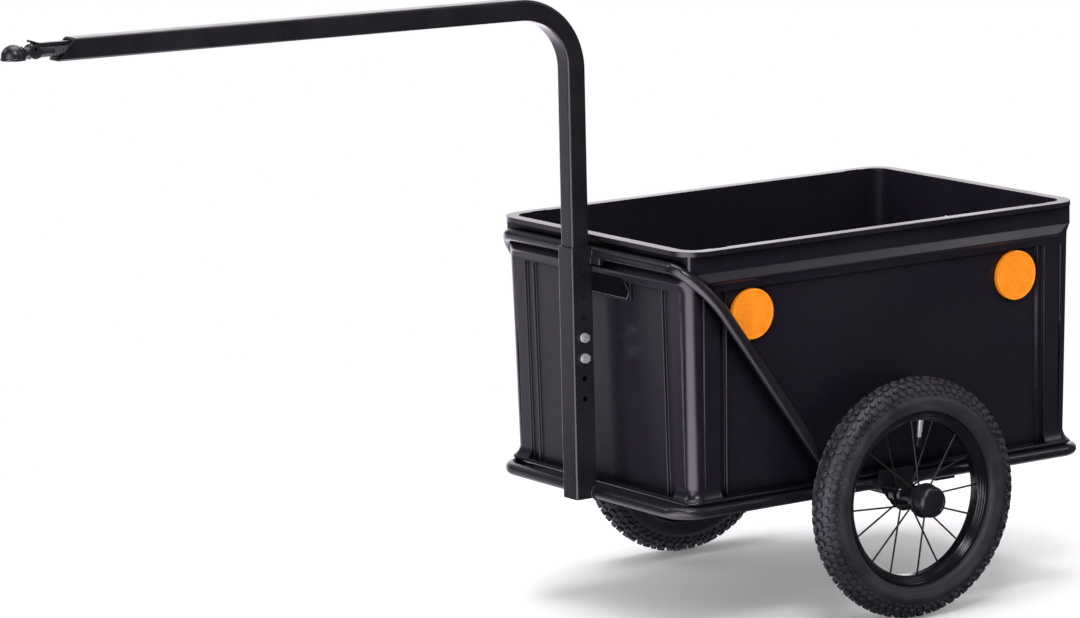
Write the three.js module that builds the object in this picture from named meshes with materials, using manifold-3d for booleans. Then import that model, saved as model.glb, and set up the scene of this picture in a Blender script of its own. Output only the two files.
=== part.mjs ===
// Two-wheeled cargo trailer for a bicycle: a stacking crate in a welded tube frame with a bent drawbar.
// Millimetres, +Z up. The drawbar points to -Y, the pair of wheels lies along X, and the wheels stand on z = 0.
import * as THREE from "three";
import { mergeVertices } from "three/addons/utils/BufferGeometryUtils.js";
import Module from "manifold-3d";

const wasm = await Module();
wasm.setup();

// Fits shared by all pieces
const seatGap = 0.3;
const overrun = 5;

// Crate
const crateWidth = 400;
const crateLength = 600;
const crateHeight = 320;
const crateDraft = 1;
const crateFloor = 4;
const rimThickness = 6;
const rimWidth = 15.3;
const rimCorner = 34;
const rimNotchLength = 23;
const rimNotchDepth = 2.5;
const rimNotchDrop = 3;
const rimNotchPlace = 243.5;
const bandInset = 9;
const bandCorner = 5;
const bandHeight = 22;
const ledgeInset = 4;
const ledgeCorner = 31;
const ledgeSlope = 10.5;
const ledgeLip = 1.5;
const coveHeight = 9;
const pilasterInset = 8.7;
const pilasterCorner = 16;
const panelDepth = 3.5;
const panelMargin = 3;
const longPanelHalf = 247;
const shortPanelHalf = 150.5;
const ribWidth = 3;
const longRibPlace = 237.5;
const shortRibPlace = 134;
const grooveWidth = 2.5;
const grooveDepth = 1.5;
const grooveFromCorner = 28;
const footInset = 6;
const footCorner = 18;
const footFlare = 13;
const footFace = 2.4;
const footLip = 2.3;
const footCoveRiseShare = 0.4;
const footCoveReachShare = 0.35;
const footShelf = 1;
const baseInset = 18.5;
const baseCorner = 20;
const innerCorner = 20;
const gripHalfBase = 60;
const gripHalfWide = 65.7;
const gripHalfTop = 54;
const gripBottomDrop = 73.5;
const gripWideDrop = 64;
const gripTopDrop = 46.5;
const gripRibPlace = 71;
const gripRibWidth = 2.5;
const gripRibDepth = 3;
const gripRibHeight = 24;

// Frame tubes
const frameTube = 15;
const ringClearance = 1;
const ringHalfLength = 301;
const ringFrontReach = 306;
const ringBend = 23.5;
const ringFrontBend = 32;
const hoopRest = 0.9;
const hoopFrontHalf = 163.9;
const hoopSpread = 13.5;
const hoopBendInset = 49.95;
const hoopBendReach = 21.7;
const hoopBendRise = 39.4;
const hoopLegInset = 30.1;
const hoopSlope = 1.38;

// Post sleeve and its height bolts
const sleeveSize = 30;
const sleeveWall = 2;
const sleeveCorner = 3;
const sleeveStandoff = 5.3;
const sleeveFoot = 1;
const sleeveTopBelowRim = 12;
const heightPitch = 25;
const heightHoleCount = 7;
const heightTopHole = 34.6;
const heightBoltHole = 3;
const fixingRadius = 3;
const fixingHead = 10;
const fixingHeadHeight = 4;
const fixingWasher = 6.2;
const fixingWasherHeight = 1.2;
const fixingNutHeight = 5;
const fixingTail = 2.5;
const lugReach = 19;
const lugHeight = 9;
const lugBelowRim = 24.7;
const lugFront = 4;
const lugDepth = 7;

// Drawbar
const drawbarSize = 25;
const drawbarWall = 2;
const drawbarCorner = 3.5;
const drawbarCornerInside = 1.5;
const drawbarTail = 15;
const drawbarRise = 276.5;
const drawbarBend = 77.5;
const drawbarReach = 675.7;
const drawbarSlope = 0.8;
const drawbarRake = 20;
const drawbarTongue = 31;

// Coupling
const plugLength = 51;
const plugSet = 0.5;
const shankRadius = 6.5;
const shankDrop = 0.8;
const shankInside = 41;
const shankLength = 41;
const knuckleReach = 48;
const knuckleRadius = 8;
const knuckleWidth = 16;
const neckRadius = 5.8;
const neckDrop = 1.2;
const cupReach = 72.6;
const cupRadius = 13.9;
const cupSkirt = 3.6;
const cupWall = 2.8;
const cupDrop = 8;
const slotWidth = 10;
const slotDepth = 9.8;
const pivotRise = 3;
const pivotPin = 2;
const leverBoss = 4.2;
const leverBossWidth = 5;
const leverWidth = 8;
const leverThickness = 3.2;
const leverEndGap = 2.7;
const tabThickness = 2.4;
const tabLength = 12.4;
const tabAngle = 19;
const springWire = 1;
const springTurns = 2.25;
const springPitch = 1.35;
const springFootLength = 5.5;
const springArmLength = 5.5;

// Running gear
const axleSpacer = 6.9;
const axleRadius = 5;
const axleOffset = 1.5;
const axleEndSpare = 6;
const bracketThickness = 5;
const bracketFront = 21.5;
const bracketRear = 28.5;
const bracketRise = 24;
const bracketShoulder = 8;
const bracketEye = 11;
const spacerRadius = 8;
const tyreRadius = 147;
const tyreHalfWidth = 23.5;
const tyreWall = 4.5;
const tyreBead = 3;
const rimLip = 106.5;
const rimLipWidth = 1.6;
const rimHalfWidth = 12.5;
const rimSeat = 101.5;
const rimWell = 97.5;
const rimWellHalf = 5;
const rimShoulderHalf = 7.5;
const rimInner = 94.5;
const rimInnerHalf = 6;
const rimSideDrop = 7.5;
const valveRadius = 3;
const valveReach = 64;
const valveAngle = 82;
const valveCapRadius = 4.2;
const valveCapLength = 11;
const hubHalfLength = 27;
const hubEndRadius = 16;
const hubBarrel = 12;
const flangeRadius = 18.5;
const flangeThickness = 3;
const flangePlace = 15;
const bearingRadius = 13;
const bearingWidth = 8;
const spokeCount = 16;
const spokeRadius = 1.1;
const spokeCircle = 15.8;
const spokeLead = 14;
const spokeStart = 2;
const spokeRimOffset = 2.5;
const nippleRadius = 1.5;
const nippleLength = 6;
const axleNut = 16;
const axleNutHeight = 8;
const capRadius = 19.3;
const capWall = 2;
const capRound = 5.3;
const capRoundLength = 10;
const capFlangeRadius = 21.3;
const capFlangePlace = 22.5;
const capFlangeThickness = 2.5;

// Crate straps
const strapWidth = 30;
const strapThickness = 3;
const strapPlace = 90;
const strapBoltPlace = 120;
const sunkHeadRadius = 6;
const sunkHeadDepth = 3;

// Reflectors
const reflectorRadius = 30.3;
const reflectorThickness = 6.5;
const reflectorRound = 1.5;
const reflectorDrop = 83;
const sideReflectorFromEnd = 99;
const rearReflectorFromSide = 108;
const rearReflectorDrop = 170;

// Fineness of the round forms
const cornerSteps = 4;
const tubeSides = 10;
const bendSteps = 5;
const roundSteps = 24;
const smallSteps = 12;
const wheelSteps = 32;
const spokeSides = 4;
const squareSteps = 2;
const casingSteps = 8;
const liningSteps = 5;

const upright = new THREE.Vector3(0, 0, 1);
const crosswise = new THREE.Vector3(1, 0, 0);

// Joining and cutting

// A closed solid from positions and triangles, turned to face outwards.
function solidFrom(positions, triangles) {
  const vertProperties = new Float32Array(positions);
  let made = new wasm.Manifold(
    new wasm.Mesh({ numProp: 3, vertProperties, triVerts: new Uint32Array(triangles) }),
  );
  if (made.volume() < 0) {
    const turned = triangles.slice();
    for (let i = 0; i < turned.length; i += 3) {
      turned[i + 1] = triangles[i + 2];
      turned[i + 2] = triangles[i + 1];
    }
    made = new wasm.Manifold(
      new wasm.Mesh({ numProp: 3, vertProperties, triVerts: new Uint32Array(turned) }),
    );
  }
  return made;
}

// The solid of a three.js geometry, with its shared vertices merged and its empty triangles left out.
function solidOf(geometry) {
  const bare = geometry.clone();
  bare.deleteAttribute("normal");
  bare.deleteAttribute("uv");
  const merged = mergeVertices(bare);
  const index = merged.getIndex().array;
  const triangles = [];
  for (let i = 0; i < index.length; i += 3) {
    const corners = [index[i], index[i + 1], index[i + 2]];
    if (new Set(corners).size === corners.length) {
      triangles.push(...corners);
    }
  }
  return solidFrom(merged.getAttribute("position").array, triangles);
}

// The three.js geometry of a solid.
function geometryOf(solid) {
  const mesh = solid.getMesh();
  const geometry = new THREE.BufferGeometry();
  geometry.setAttribute("position", new THREE.BufferAttribute(mesh.vertProperties, mesh.numProp));
  geometry.setIndex(new THREE.BufferAttribute(mesh.triVerts, 1));
  const flat = geometry.toNonIndexed();
  flat.computeVertexNormals();
  return flat;
}

// A closed surface through rings of points, with a flat cap on each end unless it closes on itself.
function loft(rings, closed = false) {
  const count = rings[0].length;
  const triangles = [];
  const spans = closed ? rings.length : rings.length - 1;
  for (let i = 0; i < spans; i += 1) {
    const low = i * count;
    const high = ((i + 1) % rings.length) * count;
    for (let j = 0; j < count; j += 1) {
      const next = (j + 1) % count;
      triangles.push(low + j, low + next, high + next);
      triangles.push(low + j, high + next, high + j);
    }
  }
  if (!closed) {
    const top = (rings.length - 1) * count;
    for (let j = 1; j < count - 1; j += 1) {
      triangles.push(0, j + 1, j);
      triangles.push(top, top + j, top + j + 1);
    }
  }
  const positions = rings.flat().flatMap((point) => point.toArray());
  return solidFrom(positions, triangles);
}

// Sections

function circleSection(radius, sides = tubeSides) {
  const points = [];
  for (let i = 0; i < sides; i += 1) {
    const angle = ((i + 0.5) / sides) * 2 * Math.PI;
    points.push(new THREE.Vector2(radius * Math.cos(angle), radius * Math.sin(angle)));
  }
  return points;
}

function roundedSection(halfX, halfY, radius, steps = cornerSteps) {
  const points = [];
  for (let corner = 0; corner < 4; corner += 1) {
    const start = (corner * Math.PI) / 2;
    const right = corner === 0 || corner === 3;
    const upper = corner < 2;
    const centreX = (right ? 1 : -1) * (halfX - radius);
    const centreY = (upper ? 1 : -1) * (halfY - radius);
    for (let i = 0; i <= steps; i += 1) {
      const angle = start + (i / steps) * (Math.PI / 2);
      points.push(
        new THREE.Vector2(centreX + radius * Math.cos(angle), centreY + radius * Math.sin(angle)),
      );
    }
  }
  return points;
}

function levelRing(section, height) {
  return section.map((point) => new THREE.Vector3(point.x, point.y, height));
}

// Paths

// Stations along straight runs that arcs join at the corners, each with its own radius.
function bentPath(corners, radii, closed = false) {
  const stations = [];
  const count = corners.length;
  corners.forEach((corner, i) => {
    const before = corners[(i + count - 1) % count];
    const after = corners[(i + 1) % count];
    const arrive = corner.clone().sub(before).normalize();
    const leave = after.clone().sub(corner).normalize();
    if (!closed && i === 0) {
      stations.push({ point: corner.clone(), along: leave });
      return;
    }
    if (!closed && i === count - 1) {
      stations.push({ point: corner.clone(), along: arrive });
      return;
    }
    const turn = arrive.angleTo(leave);
    const radius = radii[i];
    const setback = radius * Math.tan(turn / 2);
    const axis = new THREE.Vector3().crossVectors(arrive, leave).normalize();
    const start = corner.clone().addScaledVector(arrive, -setback);
    const inward = new THREE.Vector3().crossVectors(axis, arrive);
    const centre = start.clone().addScaledVector(inward, radius);
    for (let s = 0; s <= bendSteps; s += 1) {
      const angle = (turn * s) / bendSteps;
      const point = start.clone().sub(centre).applyAxisAngle(axis, angle).add(centre);
      stations.push({ point, along: arrive.clone().applyAxisAngle(axis, angle) });
    }
  });
  return stations;
}

// Stations along a chain of curves that follow on from each other.
function curvePath(pieces) {
  const stations = [];
  pieces.forEach(({ curve, steps }, i) => {
    for (let s = i === 0 ? 0 : 1; s <= steps; s += 1) {
      stations.push({ point: curve.getPoint(s / steps), along: curve.getTangent(s / steps) });
    }
  });
  return stations;
}

// The same path with both its ends drawn out by a length.
function drawnOut(stations, length) {
  const first = stations[0];
  const last = stations[stations.length - 1];
  const start = { point: first.point.clone().addScaledVector(first.along, -length), along: first.along };
  const end = { point: last.point.clone().addScaledVector(last.along, length), along: last.along };
  return [start, ...stations.slice(1, -1), end];
}

// A section carried square to a path; reference is the direction that the section's second axis keeps to.
function sweep(section, stations, reference, closed = false) {
  const rings = stations.map(({ point, along }) => {
    const side = new THREE.Vector3().crossVectors(reference, along).normalize();
    const up = new THREE.Vector3().crossVectors(along, side);
    return section.map((place) =>
      point.clone().addScaledVector(side, place.x).addScaledVector(up, place.y),
    );
  });
  return loft(rings, closed);
}

// Simple solids

// A body of revolution about the X axis from points (radius, place along X).
function revolve(profile, steps = roundSteps) {
  const points = profile.map(([radius, place]) => new THREE.Vector2(radius, place));
  return solidOf(new THREE.LatheGeometry(points, steps).rotateZ(-Math.PI / 2));
}

// A cylinder between two places on the X axis.
function rod(radius, from, to, steps = smallSteps) {
  const geometry = new THREE.CylinderGeometry(radius, radius, to - from, steps);
  return solidOf(geometry.rotateZ(-Math.PI / 2).translate((from + to) / 2, 0, 0));
}

// A hexagonal bar between two places on the X axis, by its width across flats.
function hexagon(acrossFlats, from, to) {
  return rod(acrossFlats / Math.sqrt(3), from, to, 6);
}

// A cylinder between two heights, or a cone where the two radii differ.
function tapered(lowRadius, highRadius, low, high, steps = smallSteps) {
  const geometry = new THREE.CylinderGeometry(highRadius, lowRadius, high - low, steps);
  return solidOf(geometry.rotateX(Math.PI / 2).translate(0, 0, (low + high) / 2));
}

function post(radius, low, high, steps = smallSteps) {
  return tapered(radius, radius, low, high, steps);
}

// A block between two opposite corners.
function block(low, high) {
  const size = high.map((value, i) => value - low[i]);
  const middle = high.map((value, i) => (value + low[i]) / 2);
  return solidOf(new THREE.BoxGeometry(...size).translate(...middle));
}

// An outline of (y, z) points made into a plate between two places on the X axis.
function plate(outline, from, to) {
  const geometry = new THREE.ExtrudeGeometry(outline, { depth: to - from, bevelEnabled: false });
  const turn = new THREE.Matrix4().makeBasis(
    new THREE.Vector3(0, 1, 0),
    new THREE.Vector3(0, 0, 1),
    new THREE.Vector3(1, 0, 0),
  );
  return solidOf(geometry.applyMatrix4(turn).translate(from, 0, 0));
}

function shift(solid, x, y, z) {
  return solidOf(geometryOf(solid).translate(x, y, z));
}

// Materials
function finish(color, roughness, metalness) {
  return new THREE.MeshStandardMaterial({ color, roughness, metalness });
}
const cratePlastic = finish(0x24212a, 0.45, 0);
const framePaint = finish(0x2b2a2f, 0.4, 0.3);
const tyreRubber = finish(0x2d2e32, 0.85, 0);
const rimPaint = finish(0x202024, 0.35, 0.4);
const tubeRubber = finish(0x1a1a1c, 0.8, 0);
const zinc = finish(0xb4b6ba, 0.35, 0.9);
const bearingSteel = finish(0x9a9ca0, 0.3, 0.9);
const couplingCast = finish(0x26262a, 0.4, 0.4);
const capPlastic = finish(0x1d1d20, 0.4, 0);
const amber = finish(0xf08c19, 0.25, 0);
const red = finish(0xb4141a, 0.25, 0);

const trailer = new THREE.Group();

function add(group, name, solid, material) {
  const mesh = new THREE.Mesh(geometryOf(solid), material);
  mesh.name = name;
  group.add(mesh);
  return mesh;
}

// Places that several pieces share, measured from the underside of the crate

const tubeRadius = frameTube / 2;
const halfWidth = crateWidth / 2;
const halfLength = crateLength / 2;
const draftSlope = Math.tan(THREE.MathUtils.degToRad(crateDraft));
const bandTop = crateHeight - rimThickness;
const bandBottom = bandTop - bandHeight;
const ledgeTop = bandBottom - ledgeSlope;
const ledgeBottom = ledgeTop - ledgeLip;
const coveBottom = ledgeBottom - coveHeight;
const footUnderside = frameTube + seatGap;
const footTip = footUnderside + footLip;
const footShoulder = footTip + footFace;
const footTop = footShoulder + footFlare;

// How far the drafted wall has moved in, compared with its place under the cove.
function draftAt(height) {
  return (coveBottom - height) * draftSlope;
}

const ringHalfWidth = halfWidth - baseInset + ringClearance + tubeRadius;
const sleeveBack = -(halfLength + sleeveStandoff);
const sleeveCentre = sleeveBack - sleeveSize / 2;
const sleeveTop = crateHeight - sleeveTopBelowRim;
const topHole = sleeveTop - heightTopHole;
const boltHeights = [0, 1].map((i) => topHole - (heightBoltHole + i) * heightPitch);
const axleHeight = -(axleRadius + seatGap);
const ground = axleHeight - tyreRadius;

// Paths of the frame's tubes

function ringPath() {
  const corners = [
    [1, ringHalfLength],
    [-1, ringHalfLength],
    [-1, -ringFrontReach],
    [1, -ringFrontReach],
  ].map(([side, y]) => new THREE.Vector3(side * ringHalfWidth, y, tubeRadius));
  return bentPath(corners, [ringBend, ringBend, ringFrontBend, ringFrontBend], true);
}

// The hoop runs up from the ring, bends round the crate's corner and crosses under the rim at the front.
// Its legs are placed by how far they stand in from the crate's end at the height of the cove's lower edge.
function hoopPath() {
  const frontY = -(halfLength - bandInset + tubeRadius + seatGap);
  const frontZ = bandBottom + tubeRadius - hoopRest + seatGap;
  const legX = ringHalfWidth + hoopSpread;
  const topY = -(halfLength - hoopLegInset);
  const legHeight = (y) => coveBottom - hoopSlope * (y - topY);
  const bendY = -(halfLength - hoopBendInset);
  const legDown = new THREE.Vector3(0, 1, -hoopSlope).normalize();
  const endY = topY + (coveBottom - tubeRadius) / hoopSlope;
  const leg = (side) => ({
    foot: new THREE.Vector3(side * legX, endY, legHeight(endY)),
    bend: new THREE.Vector3(side * legX, bendY, legHeight(bendY)),
    front: new THREE.Vector3(side * hoopFrontHalf, frontY, frontZ),
  });
  const corner = ({ bend, front }, side) =>
    new THREE.CubicBezierCurve3(
      bend,
      bend.clone().addScaledVector(legDown, -hoopBendRise),
      front.clone().add(new THREE.Vector3(side * hoopBendReach, 0, 0)),
      front,
    );
  const left = leg(1);
  const right = leg(-1);
  const rightCorner = corner(right, -1);
  const rightBack = new THREE.CubicBezierCurve3(
    rightCorner.v3,
    rightCorner.v2,
    rightCorner.v1,
    rightCorner.v0,
  );
  return curvePath([
    { curve: new THREE.LineCurve3(left.foot, left.bend), steps: 1 },
    { curve: corner(left, 1), steps: 2 * bendSteps },
    { curve: new THREE.LineCurve3(left.front, right.front), steps: 1 },
    { curve: rightBack, steps: 2 * bendSteps },
    { curve: new THREE.LineCurve3(right.bend, right.foot), steps: 1 },
  ]);
}
const hoopReference = new THREE.Vector3(0, hoopSlope, 1).normalize();

function ringSolid(extra) {
  return sweep(circleSection(tubeRadius + extra), ringPath(), upright, true);
}

function hoopSolid(extra) {
  return sweep(circleSection(tubeRadius + extra), hoopPath(), hoopReference);
}

// Crate

// The crate's four walls: the direction that each faces and how far it stands from the middle.
const walls = [
  { turn: 0, reach: halfWidth, long: true },
  { turn: Math.PI, reach: halfWidth, long: true },
  { turn: Math.PI / 2, reach: halfLength, long: false },
  { turn: -Math.PI / 2, reach: halfLength, long: false },
];

// A block on a wall that leans with the draft. Along the wall it runs from one place to the other,
// and its depth is counted outwards from the face of the corner pilasters.
function wallBlock(wall, from, to, inside, outside, low, high) {
  const ring = (height) => {
    const face = wall.reach - pilasterInset - draftAt(height);
    const corners = [
      [face + inside, from],
      [face + outside, from],
      [face + outside, to],
      [face + inside, to],
    ];
    return corners.map(([x, y]) =>
      new THREE.Vector3(x, y, height).applyAxisAngle(upright, wall.turn),
    );
  };
  return loft([ring(low), ring(high)]);
}

function crateSolid() {
  const pilasterAtFoot = pilasterInset + draftAt(footTop);
  const footCoveInset = pilasterAtFoot - footCoveReachShare * (pilasterAtFoot - footInset);
  const outerLevels = [
    [baseInset, baseCorner, 0],
    [baseInset, baseCorner, footUnderside],
    [footInset + footLip, footCorner, footUnderside],
    [footInset, footCorner, footTip],
    [footInset, footCorner, footShoulder],
    [footCoveInset, pilasterCorner, footShoulder + footCoveRiseShare * footFlare],
    [pilasterAtFoot, pilasterCorner, footTop],
    [pilasterInset, pilasterCorner, coveBottom],
    [(pilasterInset + ledgeInset) / 2, (pilasterCorner + ledgeCorner) / 2, ledgeBottom - coveHeight / 4],
    [ledgeInset, ledgeCorner, ledgeBottom],
    [ledgeInset, ledgeCorner, ledgeTop],
    [bandInset, bandCorner, bandBottom],
    [bandInset, bandCorner, bandTop],
    [0, rimCorner, bandTop],
    [0, rimCorner, crateHeight],
  ];
  const ringOf = ([inset, radius, height]) =>
    levelRing(roundedSection(halfWidth - inset, halfLength - inset, radius), height);
  let crate = loft(outerLevels.map(ringOf));

  const innerInset = (height) => rimWidth + (crateHeight - height) * draftSlope;
  const innerTop = crateHeight + overrun;
  const inside = loft([
    ringOf([innerInset(crateFloor), innerCorner - draftAt(crateFloor) / 2, crateFloor]),
    ringOf([innerInset(innerTop), innerCorner, innerTop]),
  ]);

  const panelLow = footShoulder + footShelf;
  const panelHigh = coveBottom - panelMargin;
  walls.forEach((wall) => {
    const half = wall.long ? longPanelHalf : shortPanelHalf;
    const rib = wall.long ? longRibPlace : shortRibPlace;
    crate = crate.subtract(wallBlock(wall, -half, half, -panelDepth, 2 * overrun, panelLow, panelHigh));
    const edge = (wall.long ? halfLength : halfWidth) - grooveFromCorner;
    [-1, 1].forEach((side) => {
      const place = side * rib;
      const outward = [place - ribWidth / 2, place + ribWidth / 2];
      crate = crate.add(wallBlock(wall, ...outward, -2 * panelDepth, 0, panelLow, panelHigh));
      const groove = side * edge;
      const across = [groove - grooveWidth / 2, groove + grooveWidth / 2];
      const low = footTop + panelMargin;
      crate = crate.subtract(wallBlock(wall, ...across, -grooveDepth, overrun, low, panelHigh));
    });
  });
  crate = crate.subtract(inside);

  const gripBottom = crateHeight - gripBottomDrop;
  const grip = new THREE.Shape([
    new THREE.Vector2(-gripHalfBase, gripBottom),
    new THREE.Vector2(gripHalfBase, gripBottom),
    new THREE.Vector2(gripHalfWide, crateHeight - gripWideDrop),
    new THREE.Vector2(gripHalfTop, crateHeight - gripTopDrop),
    new THREE.Vector2(-gripHalfTop, crateHeight - gripTopDrop),
    new THREE.Vector2(-gripHalfWide, crateHeight - gripWideDrop),
  ]);
  walls
    .filter((wall) => !wall.long)
    .forEach((wall) => {
      const depth = rimWidth + 2 * overrun;
      const cutter = new THREE.ExtrudeGeometry(grip, { depth, bevelEnabled: false })
        .rotateX(Math.PI / 2)
        .translate(0, depth - overrun - wall.reach, 0)
        .rotateZ(wall.turn > 0 ? Math.PI : 0);
      crate = crate.subtract(solidOf(cutter));
      [-1, 1].forEach((side) => {
        const place = side * gripRibPlace;
        const ribTop = gripBottom + gripRibHeight;
        const across = [place - gripRibWidth / 2, place + gripRibWidth / 2];
        const depthOfRib = gripRibDepth - panelDepth;
        crate = crate.add(wallBlock(wall, ...across, -panelDepth - ribWidth, depthOfRib, gripBottom, ribTop));
      });
    });

  walls
    .filter((wall) => wall.long)
    .forEach((wall) => {
      [-1, 1].forEach((side) => {
        const middle = side * rimNotchPlace;
        const inner = wall.reach - rimWidth;
        const facing = wall.turn === 0 ? 1 : -1;
        const xs = [facing * (inner - overrun), facing * (inner + rimNotchDepth)];
        crate = crate.subtract(
          block(
            [Math.min(...xs), middle - rimNotchLength / 2, crateHeight - rimNotchDrop],
            [Math.max(...xs), middle + rimNotchLength / 2, crateHeight + overrun],
          ),
        );
      });
    });

  strapBolts().forEach(([x, y]) => {
    const sink = seatGap + sunkHeadDepth;
    const hole = post(fixingRadius + seatGap, -overrun, crateFloor + overrun)
      .add(tapered(fixingRadius + seatGap, sunkHeadRadius + seatGap, crateFloor - sink, crateFloor - seatGap))
      .add(post(sunkHeadRadius + seatGap, crateFloor - seatGap, crateFloor + overrun));
    crate = crate.subtract(shift(hole, x, y, 0));
  });
  return crate.subtract(hoopSolid(seatGap));
}

function strapBolts() {
  return [-1, 1].flatMap((sideY) =>
    [-1, 1].map((sideX) => [sideX * strapBoltPlace, sideY * strapPlace]),
  );
}

function buildCrate() {
  add(trailer, "crate", crateSolid(), cratePlastic);
  [-1, 1].forEach((side) => {
    const y = side * strapPlace;
    const top = -seatGap;
    let strap = block(
      [-ringHalfWidth, y - strapWidth / 2, top - strapThickness],
      [ringHalfWidth, y + strapWidth / 2, top],
    );
    [-1, 1].forEach((hole) => {
      const cutter = post(fixingRadius + seatGap, top - strapThickness - overrun, top + overrun);
      strap = strap.subtract(shift(cutter, hole * strapBoltPlace, y, 0));
    });
    add(trailer, side < 0 ? "front_crate_strap" : "rear_crate_strap", strap, framePaint);
  });
  strapBolts().forEach(([x, y]) => {
    const name = (y < 0 ? "front_" : "rear_") + (x > 0 ? "left_" : "right_") + "crate_";
    const nutTop = -seatGap - strapThickness - seatGap;
    const headTop = crateFloor - seatGap;
    const neck = headTop - sunkHeadDepth;
    const bolt = post(fixingRadius, nutTop - fixingNutHeight - fixingTail, neck)
      .add(tapered(fixingRadius, sunkHeadRadius, neck, headTop));
    const bolts = new THREE.Group();
    bolts.position.set(x, y, 0);
    trailer.add(bolts);
    add(bolts, name + "bolt", bolt, zinc);
    const bolted = nut(fixingHead, fixingRadius, nutTop - fixingNutHeight, nutTop);
    add(bolts, name + "nut", bolted, zinc).rotation.y = -Math.PI / 2;
  });
}

// Bolts and nuts lie along X; the head stands on the far side of the place where it seats.
function fixing(seat, tail) {
  const washer = rod(fixingWasher, seat, seat + fixingWasherHeight);
  const head = hexagon(fixingHead, seat, seat + fixingWasherHeight + fixingHeadHeight);
  return rod(fixingRadius, tail, seat + fixingWasherHeight).add(washer).add(head);
}

function nut(acrossFlats, boltRadius, from, to) {
  const bore = rod(boltRadius + seatGap, from - overrun, to + overrun);
  return hexagon(acrossFlats, from, to).subtract(bore);
}

// Frame

function buildFrame() {
  add(trailer, "lower_ring", ringSolid(0), framePaint);
  add(trailer, "upper_hoop", hoopSolid(0).subtract(ringSolid(seatGap)), framePaint);

  const section = roundedSection(sleeveSize / 2, sleeveSize / 2, sleeveCorner, squareSteps);
  const insideHalf = sleeveSize / 2 - sleeveWall;
  const bore = roundedSection(insideHalf, insideHalf, sleeveCorner - sleeveWall, squareSteps);
  const centred = (points, height) =>
    levelRing(points, height).map((point) => point.setY(point.y + sleeveCentre));
  let sleeve = loft([centred(section, sleeveFoot), centred(section, sleeveTop)]);
  sleeve = sleeve.subtract(
    loft([centred(bore, sleeveFoot - overrun), centred(bore, sleeveTop + overrun)]),
  );
  for (let i = 0; i < heightHoleCount; i += 1) {
    sleeve = sleeve.subtract(heightHole(topHole - i * heightPitch, sleeveSize));
  }
  const lugTop = crateHeight - lugBelowRim;
  const lugFace = sleeveBack - lugFront;
  [1, -1].forEach((side) => {
    const xs = [side * (sleeveSize - sleeveWall) / 2, side * (sleeveSize / 2 + lugReach)];
    const low = [Math.min(...xs), lugFace, lugTop - lugHeight];
    const high = [Math.max(...xs), lugFace + lugDepth, lugTop];
    sleeve = sleeve.add(block(low, high));
  });
  sleeve = sleeve.subtract(ringSolid(seatGap)).subtract(hoopSolid(seatGap));
  add(trailer, "post_sleeve", sleeve, framePaint);

  boltHeights.forEach((height, i) => {
    const group = new THREE.Group();
    group.position.set(0, sleeveCentre, height);
    trailer.add(group);
    const name = i === 0 ? "upper_height_" : "lower_height_";
    const seat = sleeveSize / 2 + seatGap;
    const tail = -(seat + fixingNutHeight + fixingTail);
    add(group, name + "bolt", fixing(seat, tail), zinc);
    add(group, name + "nut", nut(fixingHead, fixingRadius, -seat - fixingNutHeight, -seat), zinc);
  });
}

function heightHole(height, width) {
  const half = width / 2 + overrun;
  return shift(rod(fixingRadius + seatGap, -half, half), 0, sleeveCentre, height);
}

// Drawbar

const drawbarFoot = boltHeights[1] - drawbarTail;
const slope = THREE.MathUtils.degToRad(drawbarSlope);
const forward = new THREE.Vector3(0, -Math.cos(slope), Math.sin(slope));
const drawbarKnee = new THREE.Vector3(0, sleeveCentre, crateHeight + drawbarRise);
const mouth = drawbarKnee.clone().addScaledVector(forward, drawbarReach);

function drawbarPath() {
  const foot = new THREE.Vector3(0, sleeveCentre, drawbarFoot);
  const tip = mouth.clone().addScaledVector(forward, drawbarTongue);
  return bentPath([foot, drawbarKnee, tip], [0, drawbarBend, 0]);
}

function buildDrawbar() {
  const half = drawbarSize / 2;
  const insideHalf = half - drawbarWall;
  const outside = sweep(roundedSection(half, half, drawbarCorner, squareSteps), drawbarPath(), crosswise);
  const bore = sweep(
    roundedSection(insideHalf, insideHalf, drawbarCornerInside, squareSteps),
    drawnOut(drawbarPath(), overrun),
    crosswise,
  );
  const wide = half + overrun;
  const over = new THREE.Vector3().crossVectors(forward, crosswise);
  const lean = drawbarRake / (half + insideHalf);
  const end = drawbarTongue + overrun;
  const notch = [
    [-overrun * lean, wide],
    [drawbarRake, -insideHalf],
    [end, -insideHalf],
    [end, wide],
  ];
  const notchRing = (x) =>
    notch.map(([reach, rise]) =>
      mouth.clone().addScaledVector(forward, reach).addScaledVector(over, rise).setX(x),
    );
  let drawbar = outside.subtract(bore).subtract(loft([notchRing(-wide), notchRing(wide)]));
  boltHeights.forEach((height) => {
    drawbar = drawbar.subtract(heightHole(height, drawbarSize));
  });
  add(trailer, "drawbar", drawbar, framePaint);
}

// Coupling, in a group whose origin is the middle of the drawbar's mouth and whose -Y runs along the drawbar

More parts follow.
